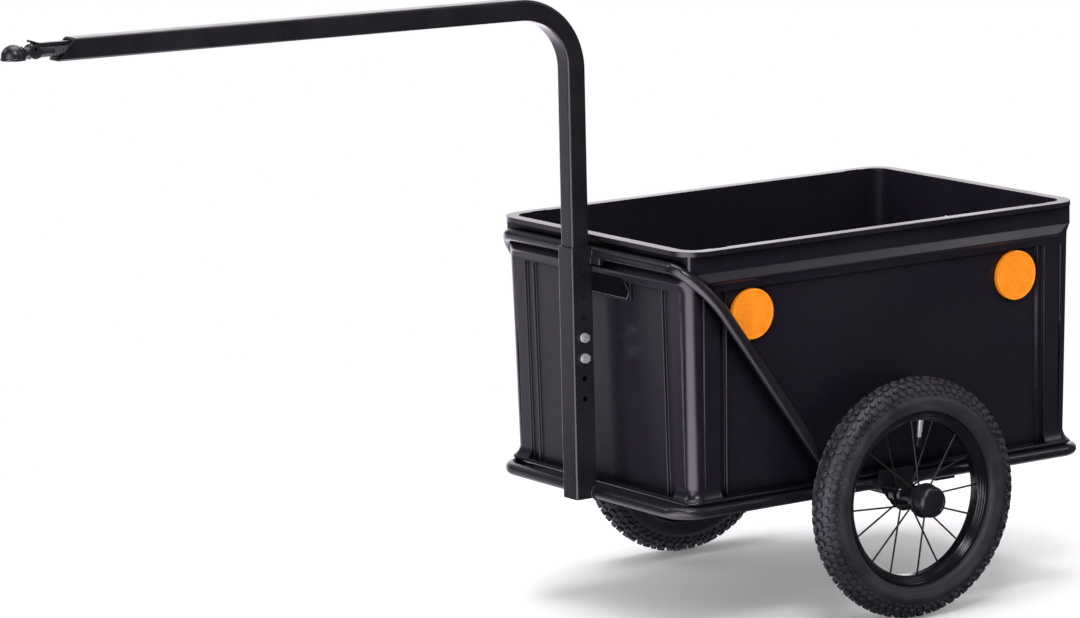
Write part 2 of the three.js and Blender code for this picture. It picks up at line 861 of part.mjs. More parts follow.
function buildCoupling() {
  const group = new THREE.Group();
  group.position.copy(mouth);
  group.rotation.x = -slope;
  trailer.add(group);

  const plugHalf = drawbarSize / 2 - drawbarWall - seatGap;
  const plugCorner = Math.max(drawbarCornerInside - seatGap, seatGap);
  const lengthwise = (points, from, to) =>
    loft([from, to].map((y) => points.map((place) => new THREE.Vector3(place.x, y, place.y))));
  const plugSection = roundedSection(plugHalf, plugHalf, plugCorner, squareSteps);
  const disc = (radius, height) =>
    circleSection(radius, smallSteps).map((place) => new THREE.Vector2(place.x, place.y + height));
  const plugBore = disc(shankRadius + seatGap, -shankDrop);
  const plug = lengthwise(plugSection, plugSet, plugSet + plugLength).subtract(
    lengthwise(plugBore, plugSet - overrun, plugSet + plugLength + overrun),
  );
  add(group, "drawbar_plug", plug, couplingCast);

  const shank = lengthwise(disc(shankRadius, -shankDrop), shankInside, -shankLength);
  const knuckle = shift(
    rod(knuckleRadius, -knuckleWidth / 2, knuckleWidth / 2),
    0,
    -knuckleReach,
    0,
  );
  const neckEnd = cupReach - cupRadius + cupWall / 2;
  const neck = lengthwise(disc(neckRadius, -neckDrop), -knuckleReach, -neckEnd);
  const equator = -cupDrop + cupSkirt;
  const inner = cupRadius - cupWall;
  const dome = (radius, from, to) => {
    const points = [];
    for (let i = 0; i <= bendSteps; i += 1) {
      const angle = from + ((to - from) * i) / bendSteps;
      points.push(new THREE.Vector2(radius * Math.cos(angle), equator + radius * Math.sin(angle)));
    }
    return points;
  };
  const cupProfile = [
    ...dome(inner, Math.PI / 2, 0),
    new THREE.Vector2(inner, -cupDrop),
    new THREE.Vector2(cupRadius, -cupDrop),
    ...dome(cupRadius, 0, Math.PI / 2),
  ];
  const cup = solidOf(
    new THREE.LatheGeometry(cupProfile, roundSteps).rotateX(Math.PI / 2).translate(0, -cupReach, 0),
  );
  const pivotY = -knuckleReach;
  const slotFloor = knuckleRadius - slotDepth;
  const slot = block(
    [-slotWidth / 2, pivotY - leverBoss - 2 * springWire, slotFloor],
    [slotWidth / 2, pivotY + knuckleRadius, knuckleRadius + overrun],
  );
  const pinBore = shift(
    rod(pivotPin + seatGap, -knuckleWidth, knuckleWidth),
    0,
    pivotY,
    pivotRise,
  );
  const head = shank.add(knuckle).add(neck).add(cup).subtract(slot).subtract(pinBore);
  add(group, "coupling_head", head, couplingCast);

  const pin = rod(pivotPin, -knuckleWidth / 2, knuckleWidth / 2);
  add(group, "latch_pin", shift(pin, 0, pivotY, pivotRise), zinc);

  const bossLeft = -slotWidth / 2 + seatGap;
  const bossRight = bossLeft + leverBossWidth;
  const barLow = shankRadius - shankDrop + seatGap;
  const barHigh = barLow + leverThickness;
  const barFront = pivotY + leverBoss + seatGap;
  const barRear = -leverEndGap;
  const boss = shift(rod(leverBoss, bossLeft, bossRight), 0, pivotY, pivotRise);
  const webRear = pivotY + knuckleRadius - seatGap;
  const web = block([bossLeft, pivotY, pivotRise], [bossRight, webRear, barHigh]);
  const bar = block([-leverWidth / 2, barFront, barLow], [leverWidth / 2, barRear, barHigh]);
  const tab = new THREE.BoxGeometry(leverWidth, tabLength, tabThickness)
    .translate(0, -tabLength / 2, 0)
    .rotateX(-THREE.MathUtils.degToRad(tabAngle))
    .translate(0, barFront + tabThickness, barHigh - tabThickness / 2);
  const bore = shift(
    rod(pivotPin + seatGap, -knuckleWidth, knuckleWidth),
    0,
    pivotY,
    pivotRise,
  );
  const lever = boss.add(web).add(bar).add(solidOf(tab)).subtract(bore);
  add(group, "latch_lever", lever, couplingCast);

  add(group, "latch_spring", springSolid(bossRight + 2 * seatGap, pivotY, pivotRise), zinc);
}

// A torsion spring wound round the latch pin, with a foot along the slot and an arm up to the tab.
function springSolid(left, y, z) {
  const wire = springWire / 2;
  const radius = pivotPin + 2 * seatGap + wire;
  const turnSteps = 12;
  const steps = Math.round(springTurns * turnSteps);
  const stations = [];
  for (let i = 0; i <= steps; i += 1) {
    const turns = i / turnSteps;
    const angle = -Math.PI / 2 - turns * 2 * Math.PI;
    const x = left + wire + turns * springPitch;
    stations.push({
      point: new THREE.Vector3(x, y + radius * Math.cos(angle), z + radius * Math.sin(angle)),
      along: new THREE.Vector3(0, Math.sin(angle), -Math.cos(angle)),
    });
  }
  const first = stations[0];
  const last = stations[steps];
  const foot = first.point.clone().addScaledVector(first.along, -springFootLength);
  const arm = last.point.clone().addScaledVector(last.along, springArmLength);
  return sweep(
    circleSection(wire, 6),
    [{ point: foot, along: first.along }, ...stations, { point: arm, along: last.along }],
    crosswise,
  );
}

// Running gear

const bracketInside = ringHalfWidth + tubeRadius + seatGap;
const bracketOutside = bracketInside + bracketThickness;
const spacerFrom = bracketOutside + seatGap;
const spacerTo = spacerFrom + axleSpacer;
const halfTrack = spacerTo + hubHalfLength;

function buildAxle() {
  const nutSeat = halfTrack + hubHalfLength;
  const axleEnd = nutSeat + axleNutHeight + axleEndSpare;
  const group = new THREE.Group();
  group.position.set(0, axleOffset, axleHeight);
  trailer.add(group);
  add(group, "axle", rod(axleRadius, -axleEnd, axleEnd), zinc);

  [1, -1].forEach((side) => {
    const label = side > 0 ? "left_" : "right_";
    const half = new THREE.Group();
    half.scale.x = side;
    group.add(half);
    const outline = new THREE.Shape();
    const rise = -axleHeight;
    outline.moveTo(-bracketFront - axleOffset, rise + bracketRise);
    outline.lineTo(-bracketFront - axleOffset, rise + bracketShoulder);
    outline.lineTo(-bracketEye * Math.cos(Math.PI / 6), -bracketEye * Math.sin(Math.PI / 6));
    outline.absarc(0, 0, bracketEye, (7 * Math.PI) / 6, (11 * Math.PI) / 6);
    outline.lineTo(bracketRear, rise + bracketShoulder);
    outline.lineTo(bracketRear, rise + bracketRise);
    outline.closePath();
    const eye = rod(axleRadius + seatGap, bracketInside - overrun, bracketOutside + overrun);
    const bracket = plate(outline, bracketInside, bracketOutside).subtract(eye);
    add(half, label + "axle_bracket", bracket, framePaint);

    const spacer = rod(spacerRadius, spacerFrom, spacerTo).subtract(
      rod(axleRadius + seatGap, spacerFrom - overrun, spacerTo + overrun),
    );
    add(half, label + "axle_spacer", spacer, zinc);
    add(half, label + "axle_nut", nut(axleNut, axleRadius, nutSeat, nutSeat + axleNutHeight), zinc);
    buildWheel(half, label);
  });
}

// A wheel, with its middle plane at half the track and +X outboard.
function buildWheel(parent, label) {
  const wheel = new THREE.Group();
  wheel.position.x = halfTrack;
  parent.add(wheel);
  add(wheel, label + "tyre", tyreSolid(), tyreRubber);
  add(wheel, label + "rim", rimSolid(), rimPaint);
  add(wheel, label + "inner_tube", innerTubeSolid(), tubeRubber);
  add(wheel, label + "valve_cap", valveCapSolid(), capPlastic);
  add(wheel, label + "hub", hubSolid(), rimPaint);

  const pocket = hubHalfLength - bearingWidth - seatGap;
  [-1, 1].forEach((end) => {
    const from = end > 0 ? pocket : -pocket - bearingWidth;
    const race = rod(bearingRadius, from, from + bearingWidth, roundSteps).subtract(
      rod(axleRadius + seatGap, from - overrun, from + bearingWidth + overrun),
    );
    add(wheel, label + (end > 0 ? "outer_bearing" : "inner_bearing"), race, bearingSteel);
  });

  const capFrom = flangePlace + flangeThickness / 2 + seatGap;
  const capInside = hubHalfLength + axleNutHeight + 2 * axleEndSpare;
  const capTo = capInside + capWall;
  const capBore = hubEndRadius + seatGap;
  const rounding = [];
  for (let i = 0; i <= cornerSteps; i += 1) {
    const angle = (i / cornerSteps) * (Math.PI / 2);
    rounding.push([
      capRadius - capRound * (1 - Math.cos(angle)),
      capTo - capRoundLength * (1 - Math.sin(angle)),
    ]);
  }
  const cap = revolve([
    [capBore, capFrom],
    [capRadius, capFrom],
    [capRadius, capFlangePlace],
    [capFlangeRadius, capFlangePlace],
    [capFlangeRadius, capFlangePlace + capFlangeThickness],
    [capRadius, capFlangePlace + capFlangeThickness],
    ...rounding,
    [0, capTo],
    [0, capInside],
    [capBore, capInside],
    [capBore, capFrom],
  ]);
  add(wheel, label + "hub_cap", cap, capPlastic);
}

// Points (radius, place) round the middle of the tyre's section, from one side of the bead to the other.
function casingArc(radius, limit, count) {
  const points = [];
  for (let i = 0; i <= count; i += 1) {
    const angle = -limit + (2 * limit * i) / count;
    points.push([casingMiddle + radius * Math.cos(angle), radius * Math.sin(angle)]);
  }
  return points;
}
const casingMiddle = tyreRadius - tyreHalfWidth;
const liningRadius = tyreHalfWidth - tyreWall;
const beadOutside = rimHalfWidth - rimLipWidth - seatGap;
const liningSweep = Math.PI - Math.asin((beadOutside - tyreBead) / liningRadius);

// The tyre's section: a round casing that necks in between the lips of the rim.
function tyreSolid() {
  const foot = rimSeat + seatGap;
  const over = rimLip + seatGap;
  const toe = beadOutside - tyreBead;
  const casingSweep = Math.PI - Math.acos((casingMiddle - over) / tyreHalfWidth);
  const outside = casingArc(tyreHalfWidth, casingSweep, casingSteps);
  const inside = casingArc(liningRadius, liningSweep, liningSteps).reverse();
  const profile = [
    ...outside,
    [over, beadOutside],
    [foot, beadOutside],
    [foot, toe],
    ...inside,
    [foot, -toe],
    [foot, -beadOutside],
    [over, -beadOutside],
    outside[0],
  ];
  return revolve(profile, wheelSteps);
}

function rimSolid() {
  const lipInside = rimHalfWidth - rimLipWidth;
  const half = [
    [rimWell, rimWellHalf],
    [rimSeat, rimShoulderHalf],
    [rimSeat, lipInside],
    [rimLip, lipInside],
    [rimLip, rimHalfWidth],
    [rimLip - rimSideDrop, rimHalfWidth],
    [rimInner, rimInnerHalf],
  ];
  const mirrored = half.map(([radius, place]) => [radius, -place]).reverse();
  const profile = [...half, ...mirrored, half[0]];
  return revolve(profile, wheelSteps).subtract(valveStem(seatGap, rimInner - overrun));
}

// The valve's stem, from a radius out to the middle of the inner tube.
function valveStem(extra, from) {
  const radius = valveRadius + extra;
  const geometry = new THREE.CylinderGeometry(radius, radius, casingMiddle - from, smallSteps)
    .translate(0, (casingMiddle + from) / 2, 0)
    .rotateX(THREE.MathUtils.degToRad(valveAngle));
  return solidOf(geometry);
}

// The inflated tube fills the casing, flat where it bridges the beads, and carries the valve.
function innerTubeSolid() {
  const ring = casingArc(liningRadius - seatGap, liningSweep, liningSteps);
  return revolve([...ring, ring[0]], wheelSteps).add(valveStem(0, valveReach));
}

function valveCapSolid() {
  const closedEnd = valveReach - 2 * seatGap - valveRadius / 2;
  const cap = new THREE.CylinderGeometry(valveCapRadius, valveCapRadius, valveCapLength, smallSteps);
  const bore = new THREE.CylinderGeometry(
    valveRadius + seatGap,
    valveRadius + seatGap,
    valveCapLength,
    smallSteps,
  );
  cap.translate(0, closedEnd + valveCapLength / 2, 0);
  bore.translate(0, valveReach - seatGap + valveCapLength / 2, 0);
  const turn = THREE.MathUtils.degToRad(valveAngle);
  return solidOf(cap.rotateX(turn)).subtract(solidOf(bore.rotateX(turn)));
}

// The hub with its spokes: half of them go to each flange, and neighbours lean opposite ways.
function hubSolid() {
  const flangeIn = flangePlace - flangeThickness / 2;
  const flangeOut = flangePlace + flangeThickness / 2;
  const half = [
    [hubBarrel, flangeIn],
    [flangeRadius, flangeIn],
    [flangeRadius, flangeOut],
    [hubEndRadius, flangeOut],
    [hubEndRadius, hubHalfLength],
    [0, hubHalfLength],
  ];
  const mirrored = half.map(([radius, place]) => [radius, -place]).reverse();
  let hub = revolve([...mirrored, ...half]);
  hub = hub.subtract(rod(axleRadius + seatGap, -hubHalfLength - overrun, hubHalfLength + overrun));
  const pocket = hubHalfLength - bearingWidth - 2 * seatGap;
  hub = hub.subtract(rod(bearingRadius + seatGap, pocket, hubHalfLength + overrun, roundSteps));
  hub = hub.subtract(rod(bearingRadius + seatGap, -hubHalfLength - overrun, -pocket, roundSteps));
  for (let i = 0; i < spokeCount; i += 1) {
    const side = i % 2 === 0 ? 1 : -1;
    const lean = Math.floor(i / 2) % 2 === 0 ? 1 : -1;
    hub = hub.add(spokeSolid(side, lean, spokeStart + (i * 360) / spokeCount));
  }
  return hub;
}

function spokeSolid(end, lean, degrees) {
  const rimAngle = THREE.MathUtils.degToRad(degrees);
  const hubAngle = THREE.MathUtils.degToRad(degrees + lean * spokeLead);
  const at = (radius, angle, x) =>
    new THREE.Vector3(x, radius * Math.cos(angle), radius * Math.sin(angle));
  const inner = at(spokeCircle, hubAngle, end * flangePlace);
  const rimFlat = rimInner * Math.cos(Math.PI / wheelSteps);
  const outer = at(rimFlat - 2 * seatGap, rimAngle, end * spokeRimOffset);
  const along = outer.clone().sub(inner).normalize();
  const nippleStart = outer.clone().addScaledVector(along, -nippleLength);
  const reference = at(1, rimAngle + Math.PI / 2, 0);
  const side = new THREE.Vector3().crossVectors(reference, along).normalize();
  const up = new THREE.Vector3().crossVectors(along, side);
  const ring = (point, radius) =>
    circleSection(radius, spokeSides).map((place) =>
      point.clone().addScaledVector(side, place.x).addScaledVector(up, place.y),
    );
  return loft([
    ring(inner, spokeRadius),
    ring(nippleStart, spokeRadius),
    ring(nippleStart.clone().addScaledVector(along, nippleRadius - spokeRadius), nippleRadius),
    ring(outer, nippleRadius),
  ]);
}

// Reflectors

function reflectorSolid() {
  const front = reflectorThickness;
  return revolve([
    [0, 0],
    [reflectorRadius, 0],
    [reflectorRadius, front - reflectorRound],
    [reflectorRadius - reflectorRound, front],
    [0, front],
  ]);
}

function buildReflectors() {
  const seats = [];
  [-1, 1].forEach((end) => {
    [1, -1].forEach((side) => {
      const name = (end < 0 ? "front_" : "rear_") + (side > 0 ? "left" : "right") + "_reflector";
      seats.push({
        name,
        wall: walls[side > 0 ? 0 : 1],
        along: side * end * (halfLength - sideReflectorFromEnd),
        height: crateHeight - reflectorDrop,
        lens: amber,
      });
    });
  });
  [1, -1].forEach((side) => {
    seats.push({
      name: side > 0 ? "tail_left_reflector" : "tail_right_reflector",
      wall: walls[2],
      along: -side * (halfWidth - rearReflectorFromSide),
      height: crateHeight - rearReflectorDrop,
      lens: red,
    });
  });
  seats.forEach(({ name, wall, along, height, lens }) => {
    const turned = new THREE.Group();
    turned.rotation.z = wall.turn;
    trailer.add(turned);
    const mesh = add(turned, name, reflectorSolid(), lens);
    const face = wall.reach - pilasterInset - draftAt(height) - panelDepth;
    mesh.position.set(face + seatGap, along, height);
    mesh.rotation.y = THREE.MathUtils.degToRad(crateDraft);
  });
}

buildCrate();
buildFrame();
buildDrawbar();
buildCoupling();
buildAxle();
buildReflectors();

// The finished part stands on z = 0 with the middle of its length on y = 0.
const cupTip = mouth.clone().addScaledVector(forward, cupReach + cupRadius);
const rearEnd = ringHalfLength + tubeRadius;
trailer.position.set(0, -(cupTip.y + rearEnd) / 2, -ground);

const part = new THREE.Group();
part.add(trailer);

export default part;
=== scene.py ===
import math
from math import cos, pi, radians, sin

import bmesh
import bpy
from mathutils import Matrix, Quaternion, Vector


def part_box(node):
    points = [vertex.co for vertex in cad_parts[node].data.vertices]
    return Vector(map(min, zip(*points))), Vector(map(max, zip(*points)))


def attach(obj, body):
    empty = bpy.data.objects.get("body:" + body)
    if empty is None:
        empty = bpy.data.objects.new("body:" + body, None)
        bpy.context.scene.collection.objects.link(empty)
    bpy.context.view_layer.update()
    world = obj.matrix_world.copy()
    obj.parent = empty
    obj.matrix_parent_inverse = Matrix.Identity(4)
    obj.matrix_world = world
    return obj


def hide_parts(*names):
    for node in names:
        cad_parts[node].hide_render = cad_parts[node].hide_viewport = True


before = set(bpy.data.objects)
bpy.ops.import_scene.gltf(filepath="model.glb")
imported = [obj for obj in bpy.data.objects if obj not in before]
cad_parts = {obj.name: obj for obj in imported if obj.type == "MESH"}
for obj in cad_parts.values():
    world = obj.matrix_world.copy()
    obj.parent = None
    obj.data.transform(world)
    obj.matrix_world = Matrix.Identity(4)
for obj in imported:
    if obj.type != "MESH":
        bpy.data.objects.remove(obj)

scene = bpy.context.scene
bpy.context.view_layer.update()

# Sizes below are in millimetres, counted from the middle of the crate's underside unless they say otherwise.
MM = 0.001
crate_low, crate_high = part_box("crate")
HOME = Vector((0, (crate_low.y + crate_high.y) / 2, crate_low.z)) / MM


# Materials

NOISE_SPAN = (0.3, 0.7)  # where most of a noise's values lie
SPECULAR, GRAIN_DEPTH = 0.5, 0.0002


def adjusted(thing, **settings):
    for name, value in settings.items():
        setattr(thing, name, value)
    return thing


def fill(tree, target, sockets):
    """Sets sockets, by name or number, to a constant or to another node's output."""
    for key, value in sockets.items():
        if isinstance(value, bpy.types.NodeSocket):
            tree.links.new(value, target.inputs[key])
        else:
            target.inputs[key].default_value = value


def node(tree, kind, sockets, **settings):
    made = adjusted(tree.nodes.new("ShaderNode" + kind), **settings)
    fill(tree, made, sockets)
    return made


def new_material(name):
    material = bpy.data.materials.new(name)
    material.use_nodes = True
    tree = material.node_tree
    return material, tree, tree.nodes["Principled BSDF"]


def noise(tree, scale, detail=4.0, rough=0.55):
    place = node(tree, "TexCoord", {}).outputs["Object"]
    return node(tree, "TexNoise", {"Vector": place, "Scale": scale, "Detail": detail,
                                   "Roughness": rough}).outputs["Fac"]


def ranged(tree, value, low, high, start=NOISE_SPAN[0], end=NOISE_SPAN[1]):
    """Runs from low to high while a value runs from start to end."""
    return node(tree, "MapRange", {"Value": value, "From Min": start, "From Max": end, "To Min": low,
                                   "To Max": high}).outputs["Result"]


def tinted(tree, value, dark, light):
    ramp = node(tree, "ValToRGB", {"Fac": value})
    for element, position, colour in zip(ramp.color_ramp.elements, NOISE_SPAN, (dark, light)):
        element.position = position
        element.color = (*colour, 1)
    return ramp.outputs["Color"]


def painted_corner_shade(tree, shader, colour, reach, darkest_share):
    """Painted shade: darkens colour and shine in inner corners, by how much the surroundings hide them."""
    hollow = node(tree, "AmbientOcclusion", {"Distance": reach}, samples=6)
    kept = ranged(tree, hollow.outputs["AO"], darkest_share, 1, 0.5, 0.95)
    shaded_colour = node(tree, "Mix", {"Factor": kept, "A": (0, 0, 0, 1), "B": colour}, data_type="RGBA")
    fill(tree, shader, {"Base Color": shaded_colour.outputs["Result"],
                        "Specular IOR Level": ranged(tree, kept, 0, SPECULAR, 0, 1)})


def surface(name, dark, light, rough, patch, grain, bump, metallic=0.0, corners=None):
    """A finish whose colour and shine wander over patches, with a fine grain in the surface, and painted
    shade in inner corners if asked.
    """
    material, tree, shader = new_material(name)
    broad = noise(tree, patch)
    colour = tinted(tree, broad, dark, light)
    fine = noise(tree, grain, 3.0, 0.6)
    bumped = node(tree, "Bump", {"Strength": bump, "Distance": GRAIN_DEPTH, "Height": fine})
    fill(tree, shader, {"Base Color": colour, "Roughness": ranged(tree, broad, *rough), "Metallic": metallic,
                        "Specular IOR Level": SPECULAR, "Normal": bumped.outputs["Normal"]})
    # painted shade: colour and shine darkened in inner corners
    if corners:
        painted_corner_shade(tree, shader, colour, *corners)
    return material


def lens_material(name, dark, light, painted_glow):
    material, tree, shader = new_material(name)
    # the emission is a painted glow, standing in for light the reflector sends back
    fill(tree, shader, {
        "Base Color": tinted(tree, noise(tree, 45), dark, light),
        "Roughness": ranged(tree, noise(tree, 300), 0.12, 0.22),
        "Subsurface Weight": 0.25, "Subsurface Radius": (0.004, 0.0015, 0.0004), "Subsurface Scale": 0.6,
        "Emission Color": (*painted_glow, 1), "Emission Strength": 0.16, "Coat Weight": 0.4, "Coat Roughness": 0.05})
    return material


FINISHES = {
    # darker and lighter colour, roughness, scale of patches and of grain, bump, metallic, painted shade in
    # inner corners (reach, darkest share)
    "crate_plastic": ((0.0095, 0.0068, 0.0135), (0.013, 0.0095, 0.018), (0.24, 0.34), 7, 900, 0.1, 0,
                      (0.02, 0.2)),
    "frame_paint": ((0.0088, 0.0075, 0.011), (0.0145, 0.0125, 0.0175), (0.24, 0.34), 20, 1400, 0.12),
    "coupling_cast": ((0.01, 0.009, 0.012), (0.017, 0.016, 0.02), (0.26, 0.38), 60, 1100, 0.25),
    "tyre_rubber": ((0.0175, 0.0155, 0.0225), (0.034, 0.0305, 0.042), (0.34, 0.6), 30, 1500, 0.5),
    "tube_rubber": ((0.008, 0.008, 0.009), (0.013, 0.013, 0.014), (0.5, 0.6), 40, 900, 0.2),
    "rim_paint": ((0.007, 0.0062, 0.0085), (0.011, 0.01, 0.013), (0.12, 0.2), 25, 1200, 0.04),
    "spoke_paint": ((0.02, 0.018, 0.02), (0.036, 0.033, 0.036), (0.25, 0.35), 90, 2000, 0.06, 0.4),
    "cap_plastic": ((0.0095, 0.008, 0.0125), (0.015, 0.0125, 0.0185), (0.24, 0.32), 30, 1500, 0.1),
    "zinc": ((0.5, 0.505, 0.52), (0.64, 0.645, 0.66), (0.3, 0.42), 110, 2500, 0.12, 0.55),
    # dull, browner zinc whose darker colour is partly painted shade for the shaded axle region
    "dull_zinc_and_painted_shade": ((0.1, 0.09, 0.085), (0.17, 0.155, 0.15), (0.42, 0.55), 110, 2500, 0.15, 0.8),
    "bearing_steel": ((0.3, 0.305, 0.31), (0.38, 0.385, 0.39), (0.22, 0.32), 120, 2500, 0.1, 1.0),
}
LENSES = {
    # darker and lighter colour, and a painted glow: emission that stands in for the light the reflector sends
    # back
    "amber_lens": ((0.82, 0.235, 0.008), (0.95, 0.3, 0.015), (1.0, 0.3, 0.01)),
    "red_lens": ((0.4, 0.006, 0.008), (0.52, 0.012, 0.014), (1.0, 0.02, 0.02)),
}
MATERIALS = {name: surface(name, *values) for name, values in FINISHES.items()}
MATERIALS.update({name: lens_material(name, *values) for name, values in LENSES.items()})


# Building blocks

def unit(x, y, z):
    return Vector((x, y, z)).normalized()


def linked(name, data):
    made = bpy.data.objects.new(name, data)
    scene.collection.objects.link(made)
    return made


def outwards(mesh, flatten=False):
    """Turns a mesh's faces outwards, after joining up its flat ones if asked."""
    form = bmesh.new()
    form.from_mesh(mesh)
    if flatten:
        bmesh.ops.remove_doubles(form, verts=form.verts, dist=1e-6)
        bmesh.ops.dissolve_limit(form, angle_limit=radians(1), verts=form.verts, edges=form.edges)
    bmesh.ops.recalc_face_normals(form, faces=form.faces)
    form.to_mesh(mesh)
    form.free()
    return mesh


def shaded(mesh, sharp):
    """Smooth shading but for edges sharper than an angle in degrees."""
    mesh.shade_smooth()
    mesh.set_sharp_from_angle(angle=radians(sharp))


def meshed(name, verts, faces):
    mesh = bpy.data.meshes.new(name)
    mesh.from_pydata([(Vector(v) + HOME) * MM for v in verts], [], faces)
    return outwards(mesh)


def piece(name, shape, slot, nodes=(), sharp=32, body="frame", material=None):
    """A shape (points in millimetres, faces), riding on a body in place of CAD nodes."""
    return dressed(name, meshed(name, *shape), slot, nodes, sharp, body, material)


def dressed(name, mesh, slot, nodes, sharp, body, material):
    mesh.materials.clear()
    mesh.materials.append(MATERIALS[material or slot])
    shaded(mesh, sharp)
    made = linked(name, mesh)
    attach(made, body)
    if nodes:
        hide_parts(*nodes)
    return made


def bevelled(made, width, segments=2, angle=40):
    """Rounds the sharp edges of a piece by a width in millimetres."""
    adjusted(made.modifiers.new("rounding", "BEVEL"), width=width * MM, segments=segments,
             limit_method="ANGLE", angle_limit=radians(angle), harden_normals=True)


def cut(made, tools, sharp):
    """Cuts other shapes out of a piece, and shades its flat faces flat again."""
    for tool in tools:
        cutter = linked("cutter", meshed("cutter", *tool))
        adjusted(made.modifiers.new("cut", "BOOLEAN"), operation="DIFFERENCE", solver="EXACT", object=cutter)
        graph = bpy.context.evaluated_depsgraph_get()
        result = bpy.data.meshes.new_from_object(made.evaluated_get(graph))
        made.modifiers.clear()
        made.data = result
        bpy.data.objects.remove(cutter)
    shaded(made.data, sharp)
    made.modifiers.new("shading", "WEIGHTED_NORMAL").keep_sharp = True


def skin(rings, closed=False, ends=True):
    """Points and faces of a surface through rings of points."""
    count = len(rings[0])
    verts = [point for ring in rings for point in ring]
    faces = []
    spans = len(rings) if closed else len(rings) - 1
    for i in range(spans):
        low, high = i * count, ((i + 1) % len(rings)) * count
        for j in range(count):
            k = (j + 1) % count
            faces.append((low + j, low + k, high + k, high + j))
    if not closed and ends:
        faces.append(tuple(range(count)))
        faces.append(tuple(range((len(rings) - 1) * count, len(rings) * count)))
    return verts, faces


def joined(*parts):
    verts, faces = [], []
    for more_verts, more_faces in parts:
        start = len(verts)
        verts += list(more_verts)
        faces += [tuple(index + start for index in face) for face in more_faces]
    return verts, faces


def circle(radius, sides):
    turn = 2 * pi / sides
    return [(radius * cos(i * turn), radius * sin(i * turn)) for i in range(sides)]


def rounded(half_x, half_y, radius, steps):
    points = []
    for corner in range(4):
        centre_x = (half_x - radius) * (1 if corner in (0, 3) else -1)
        centre_y = (half_y - radius) * (1 if corner < 2 else -1)
        for i in range(steps + 1):
            angle = (corner + i / steps) * pi / 2
            points.append((centre_x + radius * cos(angle), centre_y + radius * sin(angle)))
    return points


def sweep(section, stations, reference, closed=False, ends=True):
    """A section, or one section for each station, carried square to a path of (point, direction)."""
    rings = []
    for i, (point, along) in enumerate(stations):
        side = Vector(reference).cross(along).normalized()
        up = along.cross(side)
        shape = section[i] if isinstance(section[0][0], tuple) else section
        rings.append([point + side * x + up * y for x, y in shape])
    return skin(rings, closed, ends)


def bent_path(corners, radii, steps, closed=False):
    """(point, direction) along straight runs joined by bends, with a bend radius for each corner."""
    stations = []
    corners = [Vector(corner) for corner in corners]
    count = len(corners)
    for i, corner in enumerate(corners):
        arrive = (corner - corners[i - 1]).normalized()
        leave = (corners[(i + 1) % count] - corner).normalized()
        if not closed and i in (0, count - 1):
            stations.append((corner, leave if i == 0 else arrive))
            continue
        turn = arrive.angle(leave)
        axis = arrive.cross(leave).normalized()
        start = corner - arrive * radii[i] * math.tan(turn / 2)
        centre = start + axis.cross(arrive) * radii[i]
        for s in range(steps + 1):
            turned = Quaternion(axis, turn * s / steps)
            stations.append((centre + turned @ (start - centre), turned @ arrive))
    return stations


def bezier(a, b, c, d, steps):
    stations = []
    for i in range(steps + 1):
        t = i / steps
        u = 1 - t
        point = a * u ** 3 + b * 3 * u * u * t + c * 3 * u * t * t + d * t ** 3
        along = ((b - a) * u * u + (c - b) * 2 * u * t + (d - c) * t * t).normalized()
        stations.append((point, along))
    return stations


def round_axis(place, radius, angle):
    """A point at an angle round an axis along X."""
    return Vector((place, radius * cos(angle), radius * sin(angle)))


def revolve(profile, steps, centre=(0, 0, 0)):
    """A body of revolution about an axis along X from points (radius, place)."""
    form = bmesh.new()
    rings = [[form.verts.new(round_axis(place, radius, 2 * pi * i / steps) + Vector(centre))
              for radius, place in profile] for i in range(steps)]
    for low, high in zip(rings, rings[1:] + rings[:1]):
        for j in range(len(profile) - 1):
            form.faces.new((low[j], low[j + 1], high[j + 1], high[j]))
    bmesh.ops.remove_doubles(form, verts=form.verts, dist=1e-4)
    bmesh.ops.dissolve_degenerate(form, edges=form.edges, dist=1e-5)
    form.verts.index_update()
    result = [v.co.copy() for v in form.verts], [tuple(v.index for v in face.verts) for face in form.faces]
    form.free()
    return result


def mirrored(half):
    """Half a profile (radius, place) that starts and ends at place 0, with its mirror image after it."""
    return half + [(radius, -place) for radius, place in reversed(half)][1:]


def eased(points, size):
    """Rounds the inner corners of a profile by a size, each with a short curve of three points."""
    share_limit = 0.45
    out = [tuple(points[0])]
    for before, point, after in zip(points, points[1:], points[2:]):
        back = math.dist(before[:2], point[:2]) or 1
        ahead = math.dist(after[:2], point[:2]) or 1
        s = min(size / back, share_limit)
        e = min(size / ahead, share_limit)
        start = [p + (b - p) * s for p, b in zip(point, before)]
        end = [p + (a - p) * e for p, a in zip(point, after)]
        middle = [(a + 2 * p + b) / 4 for a, p, b in zip(start, point, end)]
        out += [tuple(start), tuple(middle), tuple(end)]
    return out + [tuple(points[-1])]


def smooth(edge, value, width=0.6):
    """0 below an edge and 1 above it, with a soft step between."""
    t = min(max((value - edge) / (2 * width) + 0.5, 0), 1)
    return t * t * (3 - 2 * t)


def window(value, low, high, width=0.6):
    return smooth(low, value, width) - smooth(high, value, width)


def refined(name, slot, width, sharp=35, body="frame", material=None):
    """The CAD node's own form with its flat faces joined up and its edges rounded."""
    mesh = outwards(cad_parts[name].data.copy(), flatten=True)
    bevelled(dressed("fine_" + name, mesh, slot, [name], sharp, body, material), width, 2, 30)


# Crate: one skin through level rings, from the underside up the outside, over the rim and down to the floor

CRATE_HALF = (200, 300)
CRATE_HEIGHT = 320
DRAFT = math.tan(radians(1))
CORNER_STEPS = 10
FACE_INSET, FACE_CORNER = 8.7, 16
FACE_BOTTOM, FACE_TOP = 33, 271
FOOT_TOP, FOOT_INSET = 20, 6
COVE_PULL = (23.9, 11.5)
PANEL_DEPTH, PANEL_LOW, PANEL_HIGH = 3.5, 21, 268
RIM_WIDTH = 15.3
FLOOR = 4
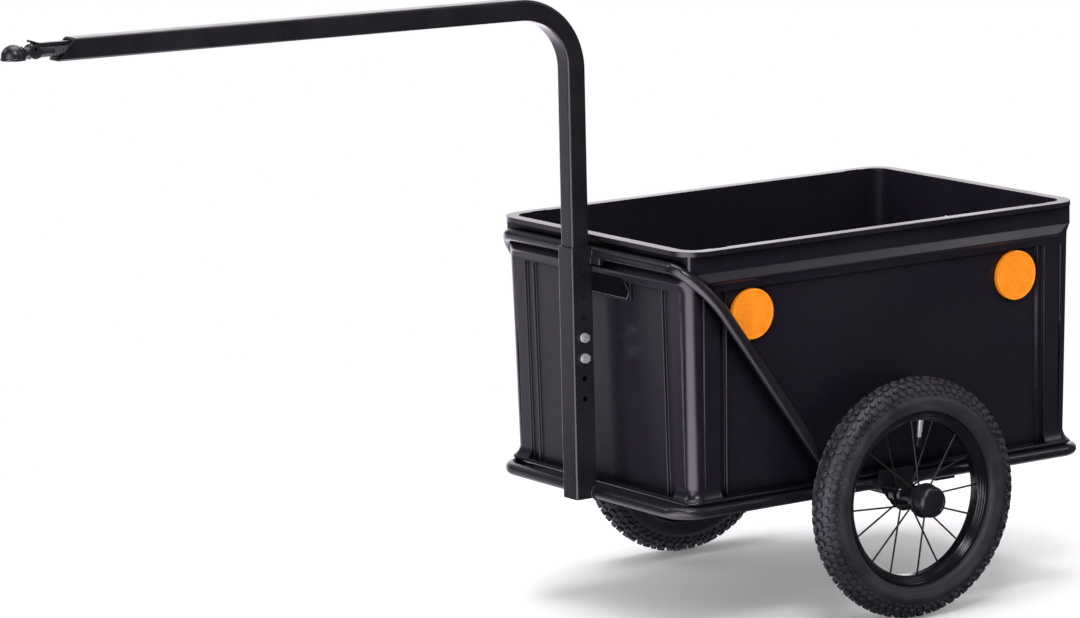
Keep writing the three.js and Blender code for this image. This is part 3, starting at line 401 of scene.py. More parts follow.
# Places along a wall, for the short walls and for the long ones
PANEL_HALF = (150.5, 247)
RIB_PLACE, RIB_HALF = (134, 237.5), 1.5
GROOVE_PLACE, GROOVE_HALF = (172, 272), 1.25
GROOVE_LOW, GROOVE_DEPTH = 36, 1.5
PLACES_BETWEEN = ((22, 44, 60, 90, 110), range(20, 230, 21))
KNEE_PLACE = (155, 257)  # places further out draw in where a rounder corner needs their room
NOTCH_SPAN, NOTCH_LOW, NOTCH_DEPTH = (232, 255), 317.1, 2.5
GRIP = [(-60, 246.5), (60, 246.5), (65.7, 256), (54, 273.5), (-54, 273.5), (-65.7, 256)]
GRIP_LOW = GRIP[0][1]
GRIP_RIB, GRIP_RIB_HALF, GRIP_RIB_SHARE = 71, 1.25, 0.85
EDGE = 1.1
WALL_WARP = 0.22


def face_inset(z):
    return FACE_INSET + (FACE_TOP - z) * DRAFT


def inner_inset(z):
    return RIM_WIDTH + (CRATE_HEIGHT - z) * DRAFT


def cove_level(t):
    """A level up the hollow between the foot's ledge and the face of a corner, with t from 0 to 1."""
    u = 1 - t
    z = FOOT_TOP * u * u + COVE_PULL[0] * 2 * u * t + FACE_BOTTOM * t * t
    inset = FOOT_INSET * u * u + COVE_PULL[1] * 2 * u * t + face_inset(FACE_BOTTOM) * t * t
    return (z, inset, 18 - 2 * t)


def crate_levels():
    """(height, inset, corner radius, side of the wall) along the crate's section."""
    low = eased([(0, 20, 20), (0.01, 18.5, 20), (15.3, 18.5, 20), (15.3, 8.3, 18), (17.6, FOOT_INSET, 18),
                 (FOOT_TOP, FOOT_INSET, 18), cove_level(0.3)], 0.9)[:-1]
    low += [cove_level(t) for t in (0.095, 0.107, 0.118, 0.129, 0.14, 0.2, 0.3, 0.42, 0.55, 0.7, 0.85, 1)]
    heights = [34.5, 35.4, 35.8, 36.4, 36.9, *range(50, 219, 24), 230]
    heights += [245.9, 246.3, 246.7, 247.2, 256, 267.3, 267.8, 268.2, 268.7]
    face = [(z, face_inset(z), FACE_CORNER) for z in heights]
    high = eased([(269.4, face_inset(269.4), FACE_CORNER), (FACE_TOP, FACE_INSET, FACE_CORNER),
                  (277.75, 6.35, 23.5), (280, 4, 31), (281.5, 4, 31), (292, 9, 5), (314, 9, 5), (314, 0, 34),
                  (CRATE_HEIGHT, 0, 34), (CRATE_HEIGHT, RIM_WIDTH / 2, 27)], 0.8)
    top = eased([(CRATE_HEIGHT, RIM_WIDTH / 2, 27), (CRATE_HEIGHT, RIM_WIDTH, 20), (318, RIM_WIDTH, 20)],
                0.5)[1:]
    notch = [(z, inner_inset(z), 20) for z in (317.2, 316.9, 316)]
    inner = [(z, inner_inset(z), 18) for z in (300, 260, 200, 140, 80, 40)]
    floor = eased([(30, inner_inset(30), 17), (FLOOR, inner_inset(FLOOR), 15), (FLOOR, 40, 8)], 7)
    outer = [(*level, 1) for level in low + face + high]
    return outer + [(*level, -1) for level in top + notch + inner + floor]


def wall_places(long):
    """Places along a wall where its relief changes, out from the middle."""
    edges = [RIB_PLACE[long] - RIB_HALF, RIB_PLACE[long] + RIB_HALF, PANEL_HALF[long]]
    edges += [GROOVE_PLACE[long] - GROOVE_HALF, GROOVE_PLACE[long] + GROOVE_HALF]
    edges += NOTCH_SPAN if long else (GRIP_RIB - GRIP_RIB_HALF, GRIP_RIB + GRIP_RIB_HALF)
    places = {edge + step * EDGE for edge in edges for step in (-1, -0.7, -0.4, -0.13, 0.13, 0.4, 0.7, 1)}
    places = sorted(places | set(PLACES_BETWEEN[long]))
    kept = [places[0]]
    for place in places[1:]:
        if place - kept[-1] > 0.2:
            kept.append(place)
    return [-place for place in reversed(kept)] + [0] + kept


def relief(along, z, inset, long, side):
    """How far the wall stands in from its outline at a level."""
    s = abs(along)
    if side < 0:
        if long and z > NOTCH_LOW:
            return -NOTCH_DEPTH * window(s, *NOTCH_SPAN)
        return WALL_WARP * sin(along / 83 + z / 71) if 20 < z < 300 else 0
    flare = max(face_inset(z) - inset, 0)
    panel = (smooth(PANEL_LOW, z, 0.25) - smooth(PANEL_HIGH, z)) * (1 - smooth(PANEL_HALF[long], s, EDGE))
    rib = window(s, RIB_PLACE[long] - RIB_HALF, RIB_PLACE[long] + RIB_HALF, EDGE)
    hollow = PANEL_DEPTH * (1 - rib)
    if not long:
        grip_rib = window(s, GRIP_RIB - GRIP_RIB_HALF, GRIP_RIB + GRIP_RIB_HALF) * smooth(GRIP_LOW, z)
        hollow *= 1 - GRIP_RIB_SHARE * grip_rib
    groove = window(s, GROOVE_PLACE[long] - GROOVE_HALF, GROOVE_PLACE[long] + GROOVE_HALF)
    depth = (flare + hollow) * panel + GROOVE_DEPTH * window(z, GROOVE_LOW, PANEL_HIGH) * groove
    warp = sin(along / 61 + z / 97) + 0.6 * sin(along / 29 - z / 53 + 1)
    return depth + WALL_WARP * panel * (1 - rib) * warp


def crate_ring(z, inset, radius, side):
    ring = []
    height = Vector((0, 0, z))
    for turn in range(4):
        long = turn % 2 == 0
        reach = CRATE_HALF[not long] - inset
        end = CRATE_HALF[long] - inset - radius
        angle = turn * pi / 2
        across = Vector((cos(angle), sin(angle), 0))
        along_wall = Vector((-sin(angle), cos(angle), 0))
        places = wall_places(long)
        knee = KNEE_PLACE[long]
        limit = places[-1] + 0.6
        for place in places:
            s = abs(place)
            if end < limit and s > knee:
                s = knee + (s - knee) * (end - knee) / (limit - knee)
            s = math.copysign(s, place)
            ring.append(across * (reach - relief(s, z, inset, long, side)) + along_wall * s + height)
        centre = across * (reach - radius) + along_wall * end
        for i in range(CORNER_STEPS + 1):
            bend = angle + i / CORNER_STEPS * pi / 2
            ring.append(centre + Vector((cos(bend), sin(bend), 0)) * radius + height)
    return ring


# Tubes of the frame

TUBE, TUBE_SIDES, FIT = 7.5, 28, 0.3
RING_HALF, RING_REAR, RING_FRONT = 190, 301, -306
RING_BENDS = (23.5, 23.5, 32, 32)
HOOP_LEG_X = 203.5
HOOP_FRONT = Vector((163.9, -298.8, 298.9))
HOOP_SLOPE = 1.38
HOOP_LEG_TOP = (-269.9, 271)
HOOP_BEND_Y = -250.05
HOOP_HANDLES = (39.4, 21.7)
HOOP_SECTION_UP = unit(0, HOOP_SLOPE, 1)
HOOP_DOWN = unit(0, 1, -HOOP_SLOPE)


def hoop_leg(y):
    return Vector((HOOP_LEG_X, y, HOOP_LEG_TOP[1] - HOOP_SLOPE * (y - HOOP_LEG_TOP[0])))


def hoop_stations():
    foot = hoop_leg(HOOP_LEG_TOP[0] + (HOOP_LEG_TOP[1] - TUBE) / HOOP_SLOPE)
    bend = hoop_leg(HOOP_BEND_Y)
    half = [(foot, -HOOP_DOWN)] + bezier(bend, bend - HOOP_DOWN * HOOP_HANDLES[0],
                                         HOOP_FRONT + Vector((HOOP_HANDLES[1], 0, 0)), HOOP_FRONT, 28)
    mirror = Vector((-1, 1, 1))
    other = [(point * mirror, Vector((along.x, -along.y, -along.z))) for point, along in reversed(half)]
    return half + [(HOOP_FRONT * Vector((0, 1, 1)), Vector((-1, 0, 0)))] + other


ring_corners = [(RING_HALF, RING_REAR, TUBE), (-RING_HALF, RING_REAR, TUBE),
                (-RING_HALF, RING_FRONT, TUBE), (RING_HALF, RING_FRONT, TUBE)]
ring_path = bent_path(ring_corners, RING_BENDS, 14, closed=True)
hoop_path = hoop_stations()
tube_section = circle(TUBE, TUBE_SIDES)
room_section = circle(TUBE + FIT, TUBE_SIDES)
piece("ring_tube", sweep(tube_section, ring_path, (0, 0, 1), closed=True), "frame_paint", ["lower_ring"], 50)
hoop = sweep(tube_section, hoop_path, HOOP_SECTION_UP)
bevelled(piece("hoop_tube", hoop, "frame_paint", ["upper_hoop"], 50), 0.6, 2, 60)
ring_room = sweep(room_section, ring_path, (0, 0, 1), closed=True)
hoop_room = sweep(room_section, hoop_path, HOOP_SECTION_UP)

BOLT_HOLE = 3.3
SINK = ((BOLT_HOLE, -5), (BOLT_HOLE, 0.7), (6.3, 3.7), (6.3, 8))  # radius and height


def sunk_hole(x, y):
    return skin([[(x + u, y + v, z) for u, v in circle(radius, 24)] for radius, z in SINK])


def grip_cutter(side):
    return skin([[(x, y, z) for x, z in GRIP] for y in (side * 270, side * 305)])


crate_shape = skin([crate_ring(*level) for level in crate_levels()])
crate = piece("crate_shell", crate_shape, "crate_plastic", ["crate"])
bolt_holes = joined(*[sunk_hole(x, y) for x in (-120, 120) for y in (-90, 90)])
cut(crate, [grip_cutter(-1), grip_cutter(1), hoop_room, bolt_holes], 42)


def grip_lip(side):
    """The rolled lip round a hand grip."""
    lip = 1.5
    corners = [(x, side * (CRATE_HALF[1] - face_inset(z) - PANEL_DEPTH + lip / 2), z) for x, z in GRIP]
    path = bent_path(corners, [2.5] * len(corners), 4, closed=True)
    return sweep(circle(lip, 10), path, (0, 1, 0), closed=True)


piece("grip_lips", joined(grip_lip(-1), grip_lip(1)), "crate_plastic", [], 50)


# Post sleeve, drawbar and their bolts

SLEEVE_Y = -320.3
SLEEVE_HALF, SLEEVE_WALL, SLEEVE_CORNER = 15, 2, 3
SLEEVE_LOW, SLEEVE_HIGH = 1, 308
HOLE_TOP, HOLE_PITCH, HOLE_COUNT = 273.4, 25, 7
BOLTED_HOLES = (3, 4)
LUG = ((15, 34), (-309.3, -303.5), (286.3, 295.3))
BAR_HALF, BAR_WALL, BAR_CORNER, BAR_CORNER_INSIDE = 12.5, 2, 3.5, 1.5
BAR_FOOT, BAR_KNEE = 158.4, 596.5
BAR_BEND, BAR_BEND_STEPS, BAR_REACH = 77.5, 40, 675.7
BAR_DENT, BAR_BULGE = 2.6, 0.22
BAR_SLOPE = radians(0.8)
RAKE, TONGUE = 20, 20.5
FORWARD = Vector((0, -cos(BAR_SLOPE), sin(BAR_SLOPE)))
KNEE = Vector((0, SLEEVE_Y, BAR_KNEE))
MOUTH = KNEE + FORWARD * BAR_REACH
BAR_TIP = MOUTH + FORWARD * TONGUE


def sleeve_shape():
    """A hollow square tube, up outside and back down inside, with trimmed ends."""
    levels = [(SLEEVE_LOW, 0.5), (SLEEVE_LOW + 0.15, 0.15), (SLEEVE_LOW + 0.5, 0),
              (SLEEVE_HIGH - 0.5, 0), (SLEEVE_HIGH - 0.15, 0.15), (SLEEVE_HIGH, 0.5)]
    inside = SLEEVE_HALF - SLEEVE_WALL
    shapes = [(z, SLEEVE_HALF - trim, SLEEVE_CORNER - trim) for z, trim in levels]
    shapes += [(z, inside + trim, 1 + trim) for z, trim in reversed(levels)]
    return skin([[(x, y + SLEEVE_Y, z) for x, y in rounded(half, half, corner, 6)]
                 for z, half, corner in shapes], closed=True)


def cross_hole(i, reach):
    """One of the sleeve's holes, counted down from its top."""
    z = HOLE_TOP - i * HOLE_PITCH
    return skin([[(x, SLEEVE_Y + u, z + v) for u, v in circle(BOLT_HOLE, 24)] for x in (-reach, reach)])


sleeve = piece("sleeve_tube", sleeve_shape(), "frame_paint", ["post_sleeve"])
cut(sleeve, [joined(*[cross_hole(i, 20) for i in range(HOLE_COUNT)]), ring_room, hoop_room], 30)


def slab(xs, ys, zs):
    corners = ((xs[0], ys[0]), (xs[1], ys[0]), (xs[1], ys[1]), (xs[0], ys[1]))
    return skin([[(x, y, z) for x, y in corners] for z in zs])


lug_sides = [sorted(side * x for x in LUG[0]) for side in (1, -1)]
lugs = joined(*[slab(xs, *LUG[1:]) for xs in lug_sides])
bevelled(piece("sleeve_lugs", lugs, "frame_paint", [], 40), 1.6, 3)


def bar_shape(half, corner, dent):
    """The drawbar's section, with one wall dented by the bend and its neighbours bulged."""
    shape = []
    for x, y in rounded(half, half, corner, 5):
        pushed = dent * max(0, 1 - (y / BAR_HALF) ** 2) if x > 0 else 0
        bulges = abs(y) > half - corner and x > -half / 2
        bulge = BAR_BULGE * dent * (1 if y > 0 else -1) if bulges else 0
        shape.append((x - pushed, y + bulge))
    return shape


def bar_dent(share):
    """How deep the bend has creased the inner wall, at a share of the way round."""
    if not 0 <= share <= 1:
        return 0
    ripple = 0.75 + 0.25 * cos(share * 20)
    return BAR_DENT * smooth(0.1, share, 0.035) * (1 - smooth(0.86, share, 0.1)) * ripple


def bar_walls():
    """The drawbar's outer and inner skin, joined by a rim at each end."""
    path = bent_path([(0, SLEEVE_Y, BAR_FOOT), KNEE, BAR_TIP], (0, BAR_BEND, 0), BAR_BEND_STEPS)
    dents = [bar_dent((i - 1) / BAR_BEND_STEPS) for i in range(len(path))]
    outside, inside = [sweep([bar_shape(half, corner, dent) for dent in dents], path, (1, 0, 0), ends=False)
                       for half, corner in ((BAR_HALF, BAR_CORNER), (BAR_HALF - BAR_WALL, BAR_CORNER_INSIDE))]
    verts, faces = joined(outside, inside)
    shift = len(outside[0])
    count = shift // len(path)
    for start in (0, shift - count):
        for j in range(count):
            k = (j + 1) % count
            faces.append((start + j, start + k, shift + start + k, shift + start + j))
    return verts, faces


def coupled(shape):
    """Moves a shape made round the middle of the drawbar's mouth, with -Y along the drawbar, to its place."""
    leaned = Matrix.Rotation(-BAR_SLOPE, 3, "X")
    verts, faces = shape
    return [MOUTH + leaned @ Vector(v) for v in verts], faces


def raked_end():
    """What is cut off the drawbar's end: its walls slant down to the tongue that the lower wall leaves."""
    low, high, far = -BAR_HALF + BAR_WALL, BAR_HALF + 6, TONGUE + 5
    lean = RAKE / (BAR_HALF - low)
    outline = [((high - BAR_HALF) * lean, high), (-RAKE, low), (-far, low), (-far, high)]
    return coupled(skin([[(x, y, z) for y, z in outline] for x in (-BAR_HALF - 3, BAR_HALF + 3)]))


drawbar = piece("drawbar_tube", bar_walls(), "frame_paint", ["drawbar"])
cut(drawbar, [joined(*[cross_hole(i, 16) for i in BOLTED_HOLES]), raked_end()], 30)


# Coupling: a domed socket on a shank, with a cam lever on a cross pin

SHANK_RADIUS, SHANK_DROP, SHANK_REACH, SHANK_INSIDE = 6.5, 0.8, 41, 41
KNUCKLE_REACH, KNUCKLE_RADIUS, KNUCKLE_HALF = 48, 8, 8
SLOT_HALF, SLOT_FLOOR = 5, -1.8
NECK_RADIUS, NECK_DROP = 5.8, 1.2
CUP_REACH, CUP_RADIUS, CUP_WALL = 72.6, 13.9, 2.8
CUP_DROP, CUP_SKIRT, CUP_LIP = 8, 3.6, 0.5
PIVOT_RISE = 3
THREAD_PITCH, THREAD_TURNS, THREAD_HEIGHT, THREAD_STEPS = 1.75, 9, 0.45, 24
SPRING_WIRE, SPRING_RADIUS, SPRING_PITCH, SPRING_TURNS = 0.5, 3.1, 1.35, 2.25
SPRING_LEFT, SPRING_TAIL, SPRING_STEPS = 1.4, 5.5, 36


def lengthwise(radius, drop, profile):
    """A round bar along the drawbar from points (swell of its radius, place towards the socket)."""
    return skin([[(x, -place, z - drop) for x, z in circle(radius + swell, 36)] for swell, place in profile])


def dome(radius, start, end):
    equator = CUP_SKIRT - CUP_DROP
    angles = [radians(start + (end - start) * i / 14) for i in range(15)]
    return [(max(radius * cos(angle), 0), equator + radius * sin(angle)) for angle in angles]


def cup():
    inner, lip = CUP_RADIUS - CUP_WALL, CUP_RADIUS + CUP_LIP
    edge = eased([(inner, -CUP_DROP + 2), (inner, -CUP_DROP), (lip, -CUP_DROP), (lip, -CUP_DROP + 2.2),
                  (CUP_RADIUS, -CUP_DROP + 3)], 0.5)
    verts, faces = revolve(dome(inner, 90, 0) + edge + dome(CUP_RADIUS, 0, 90), 48)
    return [(v.y, v.z - CUP_REACH, v.x) for v in verts], faces


def cheek(low, high):
    """One side of the knuckle: a disc with eased edges."""
    half = [(0, 0), (KNUCKLE_RADIUS - 0.7, 0), (KNUCKLE_RADIUS - 0.21, 0.21), (KNUCKLE_RADIUS, 0.7)]
    profile = [(radius, low + place) for radius, place in half]
    profile += [(radius, high - place) for radius, place in reversed(half)]
    return revolve(profile, 36, (0, -KNUCKLE_REACH, 0))


def knuckle_floor():
    """The knuckle between its cheeks, under the slot."""
    start = math.asin(SLOT_FLOOR / KNUCKLE_RADIUS)
    angles = [start - (pi + 2 * start) * i / 16 for i in range(17)]
    radius = KNUCKLE_RADIUS - 0.2
    return skin([[(x, radius * cos(angle) - KNUCKLE_REACH, radius * sin(angle)) for angle in angles]
                 for x in (-SLOT_HALF - 1, SLOT_HALF + 1)])


def thread():
    stations = []
    radius = SHANK_RADIUS + 0.05
    lead = THREAD_PITCH / (2 * pi * SHANK_RADIUS)
    for i in range(THREAD_STEPS * THREAD_TURNS):
        turns = i / THREAD_STEPS
        cosine, sine = cos(turns * 2 * pi), sin(turns * 2 * pi)
        stations.append((Vector((radius * cosine, -(8 + THREAD_PITCH * turns), radius * sine - SHANK_DROP)),
                         unit(-sine, -lead, cosine)))
    return sweep(circle(THREAD_HEIGHT, 4), stations, (0, 1, 0))


def spring():
    stations = []
    for i in range(int(SPRING_TURNS * SPRING_STEPS) + 1):
        turns = i / SPRING_STEPS
        angle = -pi / 2 - turns * 2 * pi
        cosine, sine = cos(angle), sin(angle)
        stations.append((Vector((SPRING_LEFT + turns * SPRING_PITCH, -KNUCKLE_REACH + SPRING_RADIUS * cosine,
                                 PIVOT_RISE + SPRING_RADIUS * sine)), Vector((0, sine, -cosine))))
    (first, leave), (last, arrive) = stations[0], stations[-1]
    stations = [(first - leave * SPRING_TAIL, leave), *stations, (last + arrive * SPRING_TAIL, arrive)]
    return sweep(circle(SPRING_WIRE, 12), stations, (1, 0, 0))


shank = lengthwise(SHANK_RADIUS, SHANK_DROP, [
    (-0.6, -SHANK_INSIDE), (0, -SHANK_INSIDE + 0.6), (0, 1), (1.2, 1.6), (1.2, 4.4), (0, 5),
    (0, SHANK_REACH - 4), (0.9, SHANK_REACH), (0.9, SHANK_REACH + 3)])
neck = lengthwise(NECK_RADIUS, NECK_DROP, [(swell, KNUCKLE_REACH + place) for swell, place in (
    (1.4, 4.5), (0.3, 8), (0, 10), (0.8, 12.2), (2.2, 14))])
cheeks = [cheek(SLOT_HALF, KNUCKLE_HALF), cheek(-KNUCKLE_HALF, -SLOT_HALF)]
head = joined(cup(), shank, neck, *cheeks, knuckle_floor())
piece("coupling_casting", coupled(head), "coupling_cast", ["coupling_head"], 38)
piece("shank_thread", coupled(thread()), "coupling_cast", [], 60)
refined("latch_pin", "zinc", 0.35)
refined("latch_lever", "coupling_cast", 0.5, 40, "latch")
refined("drawbar_plug", "coupling_cast", 0.4)
piece("latch_coil", coupled(spring()), "zinc", ["latch_spring"], 50, "latch")


# Running gear, with the wheels made round an axis along X and their outer side at +X

AXLE_Y, AXLE_Z, TRACK_HALF = 1.5, -5.3, 237
TYRE_RADIUS, TYRE_HALF, TYRE_WALL = 147, 23.5, 4.5
CASING_MIDDLE, TYRE_EDGE = TYRE_RADIUS - TYRE_HALF, 134
SIDEWALL_LINES = ((96, 0.35), (101, 0.35), (122, 0.55), (127, 0.55))  # degrees round the casing and height
KNOB_HEIGHT, KNOB_SPAN, KNOB_PITCHES = 3.7, 74, 37
CASING_BARE = TYRE_HALF - KNOB_HEIGHT
KNOB_ROWS = (
    # degrees round the casing, length along the tread, width, skew, phase as a share of the pitch, rise
    (10, 8.6, 6.4, 0.3, 0.0, 1.0),
    (13, 6.8, 7.4, -0.25, 0.5, 0.92),
    (34, 7.0, 6.8, -0.2, 0.24, 0.95),
    (36, 7.8, 5.8, 0.25, 0.74, 1.0),
    (57, 8.0, 6.4, 0.12, 0.02, 1.0),
    (56, 6.2, 7.4, -0.12, 0.5, 0.88),
    (74, 6.6, 4.2, 0.1, 0.26, 0.8),
    (73, 5.2, 5.0, 0.0, 0.76, 0.65),
)
RIM_LIP, RIM_HALF, RIM_LIP_WIDTH, RIM_SEAT = 106.5, 12.5, 1.6, 101.5
RIM_WELL, RIM_INNER = 97.5, 94.5
RIM_BEADS, RIM_BEAD, RIM_BEAD_START, RIM_BEAD_END = 3, 0.45, RIM_LIP - 2, 96.4
BEAD_OUTSIDE, BEAD_WIDTH = RIM_HALF - RIM_LIP_WIDTH - FIT, 3
FLANGE_RADIUS, FLANGE_PLACE, FLANGE_HALF = 18.5, 15, 1.5
HUB_HALF, HUB_BARREL, HUB_END = 27, 12, 16
BEARING_RADIUS, BEARING_WIDTH, AXLE_RADIUS = 13, 8, 5
SPOKE_COUNT, SPOKE_START, SPOKE_LEAD, SPOKE_CIRCLE = 16, 2, 14, 15.8
SPOKE_RADIUS, SPOKE_RIM_OFFSET, NIPPLE_LENGTH, NIPPLE_RADIUS = 1.15, 2.5, 6, 1.5
VALVE_ANGLE, VALVE_RADIUS, VALVE_REACH = radians(82), 3, 64
VALVE_CAP_RADIUS, VALVE_CAP_LENGTH = 4.2, 11
CAP_RADIUS, CAP_FROM, CAP_INSIDE, CAP_WALL = 19.3, 16.8, 41.6, 1.6
CAP_ROUND, CAP_ROUND_LENGTH = 5.3, 9
CAP_FLANGE_RADIUS, CAP_FLANGE = 21.3, (22.5, 25)
CAP_GROOVE_RADIUS, CAP_GROOVE = CAP_RADIUS - 1.2, 2.4


def casing_point(degrees, reach):
    angle = radians(degrees)
    return (CASING_MIDDLE + reach * cos(angle), reach * sin(angle))


def lining(radius, steps):
    """Points round the tyre's inside from one bead to the other."""
    limit = 180 - math.degrees(math.asin((BEAD_OUTSIDE - BEAD_WIDTH) / radius))
    return [casing_point(limit - 2 * limit * i / steps, radius) for i in range(steps + 1)]


def tyre_profile():
    """The casing lies lower under the tread than on its side walls."""
    points = []
    for degrees in range(-TYRE_EDGE, TYRE_EDGE + 1, 2):
        place = abs(degrees)
        bare = CASING_BARE + (TYRE_HALF - 0.6 - CASING_BARE) * smooth(KNOB_SPAN + 12, place, 12)
        lines = sum(rise * window(place, middle - 1.5, middle + 1.5, 1.2) for middle, rise in SIDEWALL_LINES)
        points.append(casing_point(degrees, bare + lines))
    foot, over, toe = RIM_SEAT + FIT, RIM_LIP + FIT, BEAD_OUTSIDE - BEAD_WIDTH
    return ([(foot, -toe), (foot, -BEAD_OUTSIDE), (over, -BEAD_OUTSIDE)] + points
            + [(over, BEAD_OUTSIDE), (foot, BEAD_OUTSIDE), (foot, toe)] + lining(TYRE_HALF - TYRE_WALL, 30)
            + [(foot, -toe)])


def knob(angle, degrees, length, width, skew, rise):
    """A tread block on the casing: a tapered block with eased corners."""
    rings = []
    top = KNOB_HEIGHT * rise
    for lift, scale in ((-0.8, 1.1), (top * 0.8, 0.98), (top * 0.96, 0.92), (top, 0.8)):
        ring = []
        for u, v in rounded(length / 2 * scale, width / 2 * scale, min(length, width) * 0.22, 1):
            phi = degrees + math.degrees((v + skew * u) / TYRE_HALF)
            radius, place = casing_point(phi, CASING_BARE + lift)
            ring.append(round_axis(place, radius, angle + u / TYRE_RADIUS))
        rings.append(ring)
    return skin(rings)


def tread():
    blocks = []
    for i in range(KNOB_PITCHES):
        for row, (degrees, length, width, skew, phase, rise) in enumerate(KNOB_ROWS):
            for half in (-1, 1):
                wander = 0.03 * sin(i * 3.1 + row * 1.7)
                place = i + phase + wander + (0.25 if half < 0 else 0)
                wave = 1 + 0.1 * sin(i * 2.4 + row)
                blocks.append(knob(place * (2 * pi / KNOB_PITCHES), half * degrees, length * wave, width,
                                   half * skew, rise))
    return joined(*blocks)


def rim_profile():
    lip_inside = RIM_HALF - RIM_LIP_WIDTH
    half = eased([(RIM_WELL, 0), (RIM_WELL, 5), (RIM_SEAT, 7.5), (RIM_SEAT, lip_inside),
                  (RIM_LIP, lip_inside), (RIM_LIP, RIM_HALF), (RIM_LIP - 1.6, RIM_HALF)], 0.6)
    for i in range(RIM_BEADS * 8 + 1):
        share = i / (RIM_BEADS * 8)
        place = RIM_HALF - 0.9 - 3.4 * share ** 1.6 + RIM_BEAD * sin(share * RIM_BEADS * 2 * pi)
        half.append((RIM_BEAD_START - (RIM_BEAD_START - RIM_BEAD_END) * share, place))
    return mirrored(half + eased([half[-1], (RIM_INNER + 0.6, 7), (RIM_INNER, 5.6), (RIM_INNER, 0)], 0.6)[1:])


def hub_profile():
    low, high = FLANGE_PLACE - FLANGE_HALF, FLANGE_PLACE + FLANGE_HALF
    seat, bore, pocket = BEARING_RADIUS + FIT, AXLE_RADIUS + FIT, HUB_HALF - BEARING_WIDTH - 2 * FIT
    return mirrored(eased([
        (HUB_BARREL, 0), (HUB_BARREL, low - 3), (HUB_BARREL + 2.5, low), (FLANGE_RADIUS, low),
        (FLANGE_RADIUS, high), (HUB_END, high), (HUB_END, HUB_HALF), (seat, HUB_HALF), (seat, pocket),
        (bore, pocket), (bore, 0)], 0.6))


def cap_profile():
    end = CAP_INSIDE + CAP_WALL
    bore = HUB_END + FIT
    low, high = CAP_FLANGE
    points = [(bore, CAP_FROM)] + eased([
        (CAP_RADIUS, CAP_FROM), (CAP_RADIUS, low), (CAP_FLANGE_RADIUS, low), (CAP_FLANGE_RADIUS, high),
        (CAP_GROOVE_RADIUS, high), (CAP_GROOVE_RADIUS, high + CAP_GROOVE), (CAP_RADIUS, high + 3),
        (CAP_RADIUS, high + 4)], 0.45)
    edge = CAP_RADIUS - CAP_ROUND
    for i in range(15):
        angle = i / 14 * pi / 2
        points.append((edge + CAP_ROUND * cos(angle), end - CAP_ROUND_LENGTH * (1 - sin(angle))))
    return points + [(edge - 1, end), (edge - 1.4, end - 0.5), (0, end - 0.5), (0, CAP_INSIDE),
                     (bore, CAP_INSIDE), (bore, CAP_FROM)]


def bearing_profile(start):
    outer, inner, width, dip = BEARING_RADIUS, AXLE_RADIUS + FIT, 2.2, 0.5
    face = [(inner, 0), (inner + width, 0), (inner + width, dip), (outer - width, dip), (outer - width, 0),
            (outer, 0)]
    points = [(radius, start + place) for radius, place in face]
    points += [(radius, start + BEARING_WIDTH - place) for radius, place in reversed(face)]
    return eased(points + points[:1], 0.2)


def round_bar(start, end, stations, sides=10):
    """A round bar between two points from shares of its length and radii."""
    along = (end - start).normalized()
    side = along.orthogonal().normalized()
    up = along.cross(side)
    return skin([[start + (end - start) * share + side * x + up * y for x, y in circle(radius, sides)]
                 for share, radius in stations])


def spokes():
    bars, sleeves = [], []
    for i in range(SPOKE_COUNT):
        end = 1 if i % 2 == 0 else -1
        lean = 1 if (i // 2) % 2 == 0 else -1
        degrees = SPOKE_START + i * 360 / SPOKE_COUNT
        inner = round_axis(end * (FLANGE_PLACE + lean * (FLANGE_HALF + SPOKE_RADIUS)), SPOKE_CIRCLE,
                           radians(degrees + lean * SPOKE_LEAD))
        outer = round_axis(end * SPOKE_RIM_OFFSET, RIM_INNER + 1, radians(degrees))
        elbow = inner - Vector((end * lean * (2 * FLANGE_HALF + 2 * SPOKE_RADIUS), 0, 0))
        share = 1 - NIPPLE_LENGTH / (outer - inner).length
        bars.append(round_bar(inner, outer, ((0, SPOKE_RADIUS), (share, SPOKE_RADIUS))))
        bars.append(round_bar(inner, elbow, [(place, SPOKE_RADIUS * swell) for place, swell in (
            (-0.15, 1), (1, 1), (1.02, 1.7), (1.2, 1.5), (1.25, 0.7))]))
        nipple = [(place, NIPPLE_RADIUS * swell) for place, swell in (
            (share, 0.8), (0.985, 0.85), (0.99, 1.25), (1, 1.25))]
        sleeves.append(round_bar(inner, outer, [(share - 0.01, SPOKE_RADIUS), *nipple], 12))
    return joined(*bars), joined(*sleeves)


def valve():
    """The valve's threaded stem and its ridged cap, each a round bar."""
    up = round_axis(0, 1, VALVE_ANGLE)
    stem = [(0, 4.6), (0.05, 4.6), (0.1, 3.9), (0.3, 3.5), (0.55, 3.3), (0.56, 2.9)]
    for i in range(8):
        stem += [(0.58 + i * 0.05, 2.95), (0.605 + i * 0.05, 2.6)]
    stem += [(0.98, 2.6), (1, 2.3)]
    radius = VALVE_CAP_RADIUS
    ridges = [(0, radius - 1), (0.06, radius - 0.3), (0.1, radius)]
    for i in range(6):
        ridges += [(0.16 + i * 0.12, radius), (0.19 + i * 0.12, radius - 0.35), (0.22 + i * 0.12, radius)]
    ridges += [(0.97, radius), (1, radius - 0.3)]
    tip = VALVE_REACH - 2 * FIT - VALVE_RADIUS / 2
    return (round_bar(up * (RIM_WELL + 3), up * VALVE_REACH, stem, 20),
            round_bar(up * tip, up * (tip + VALVE_CAP_LENGTH), ridges, 20))


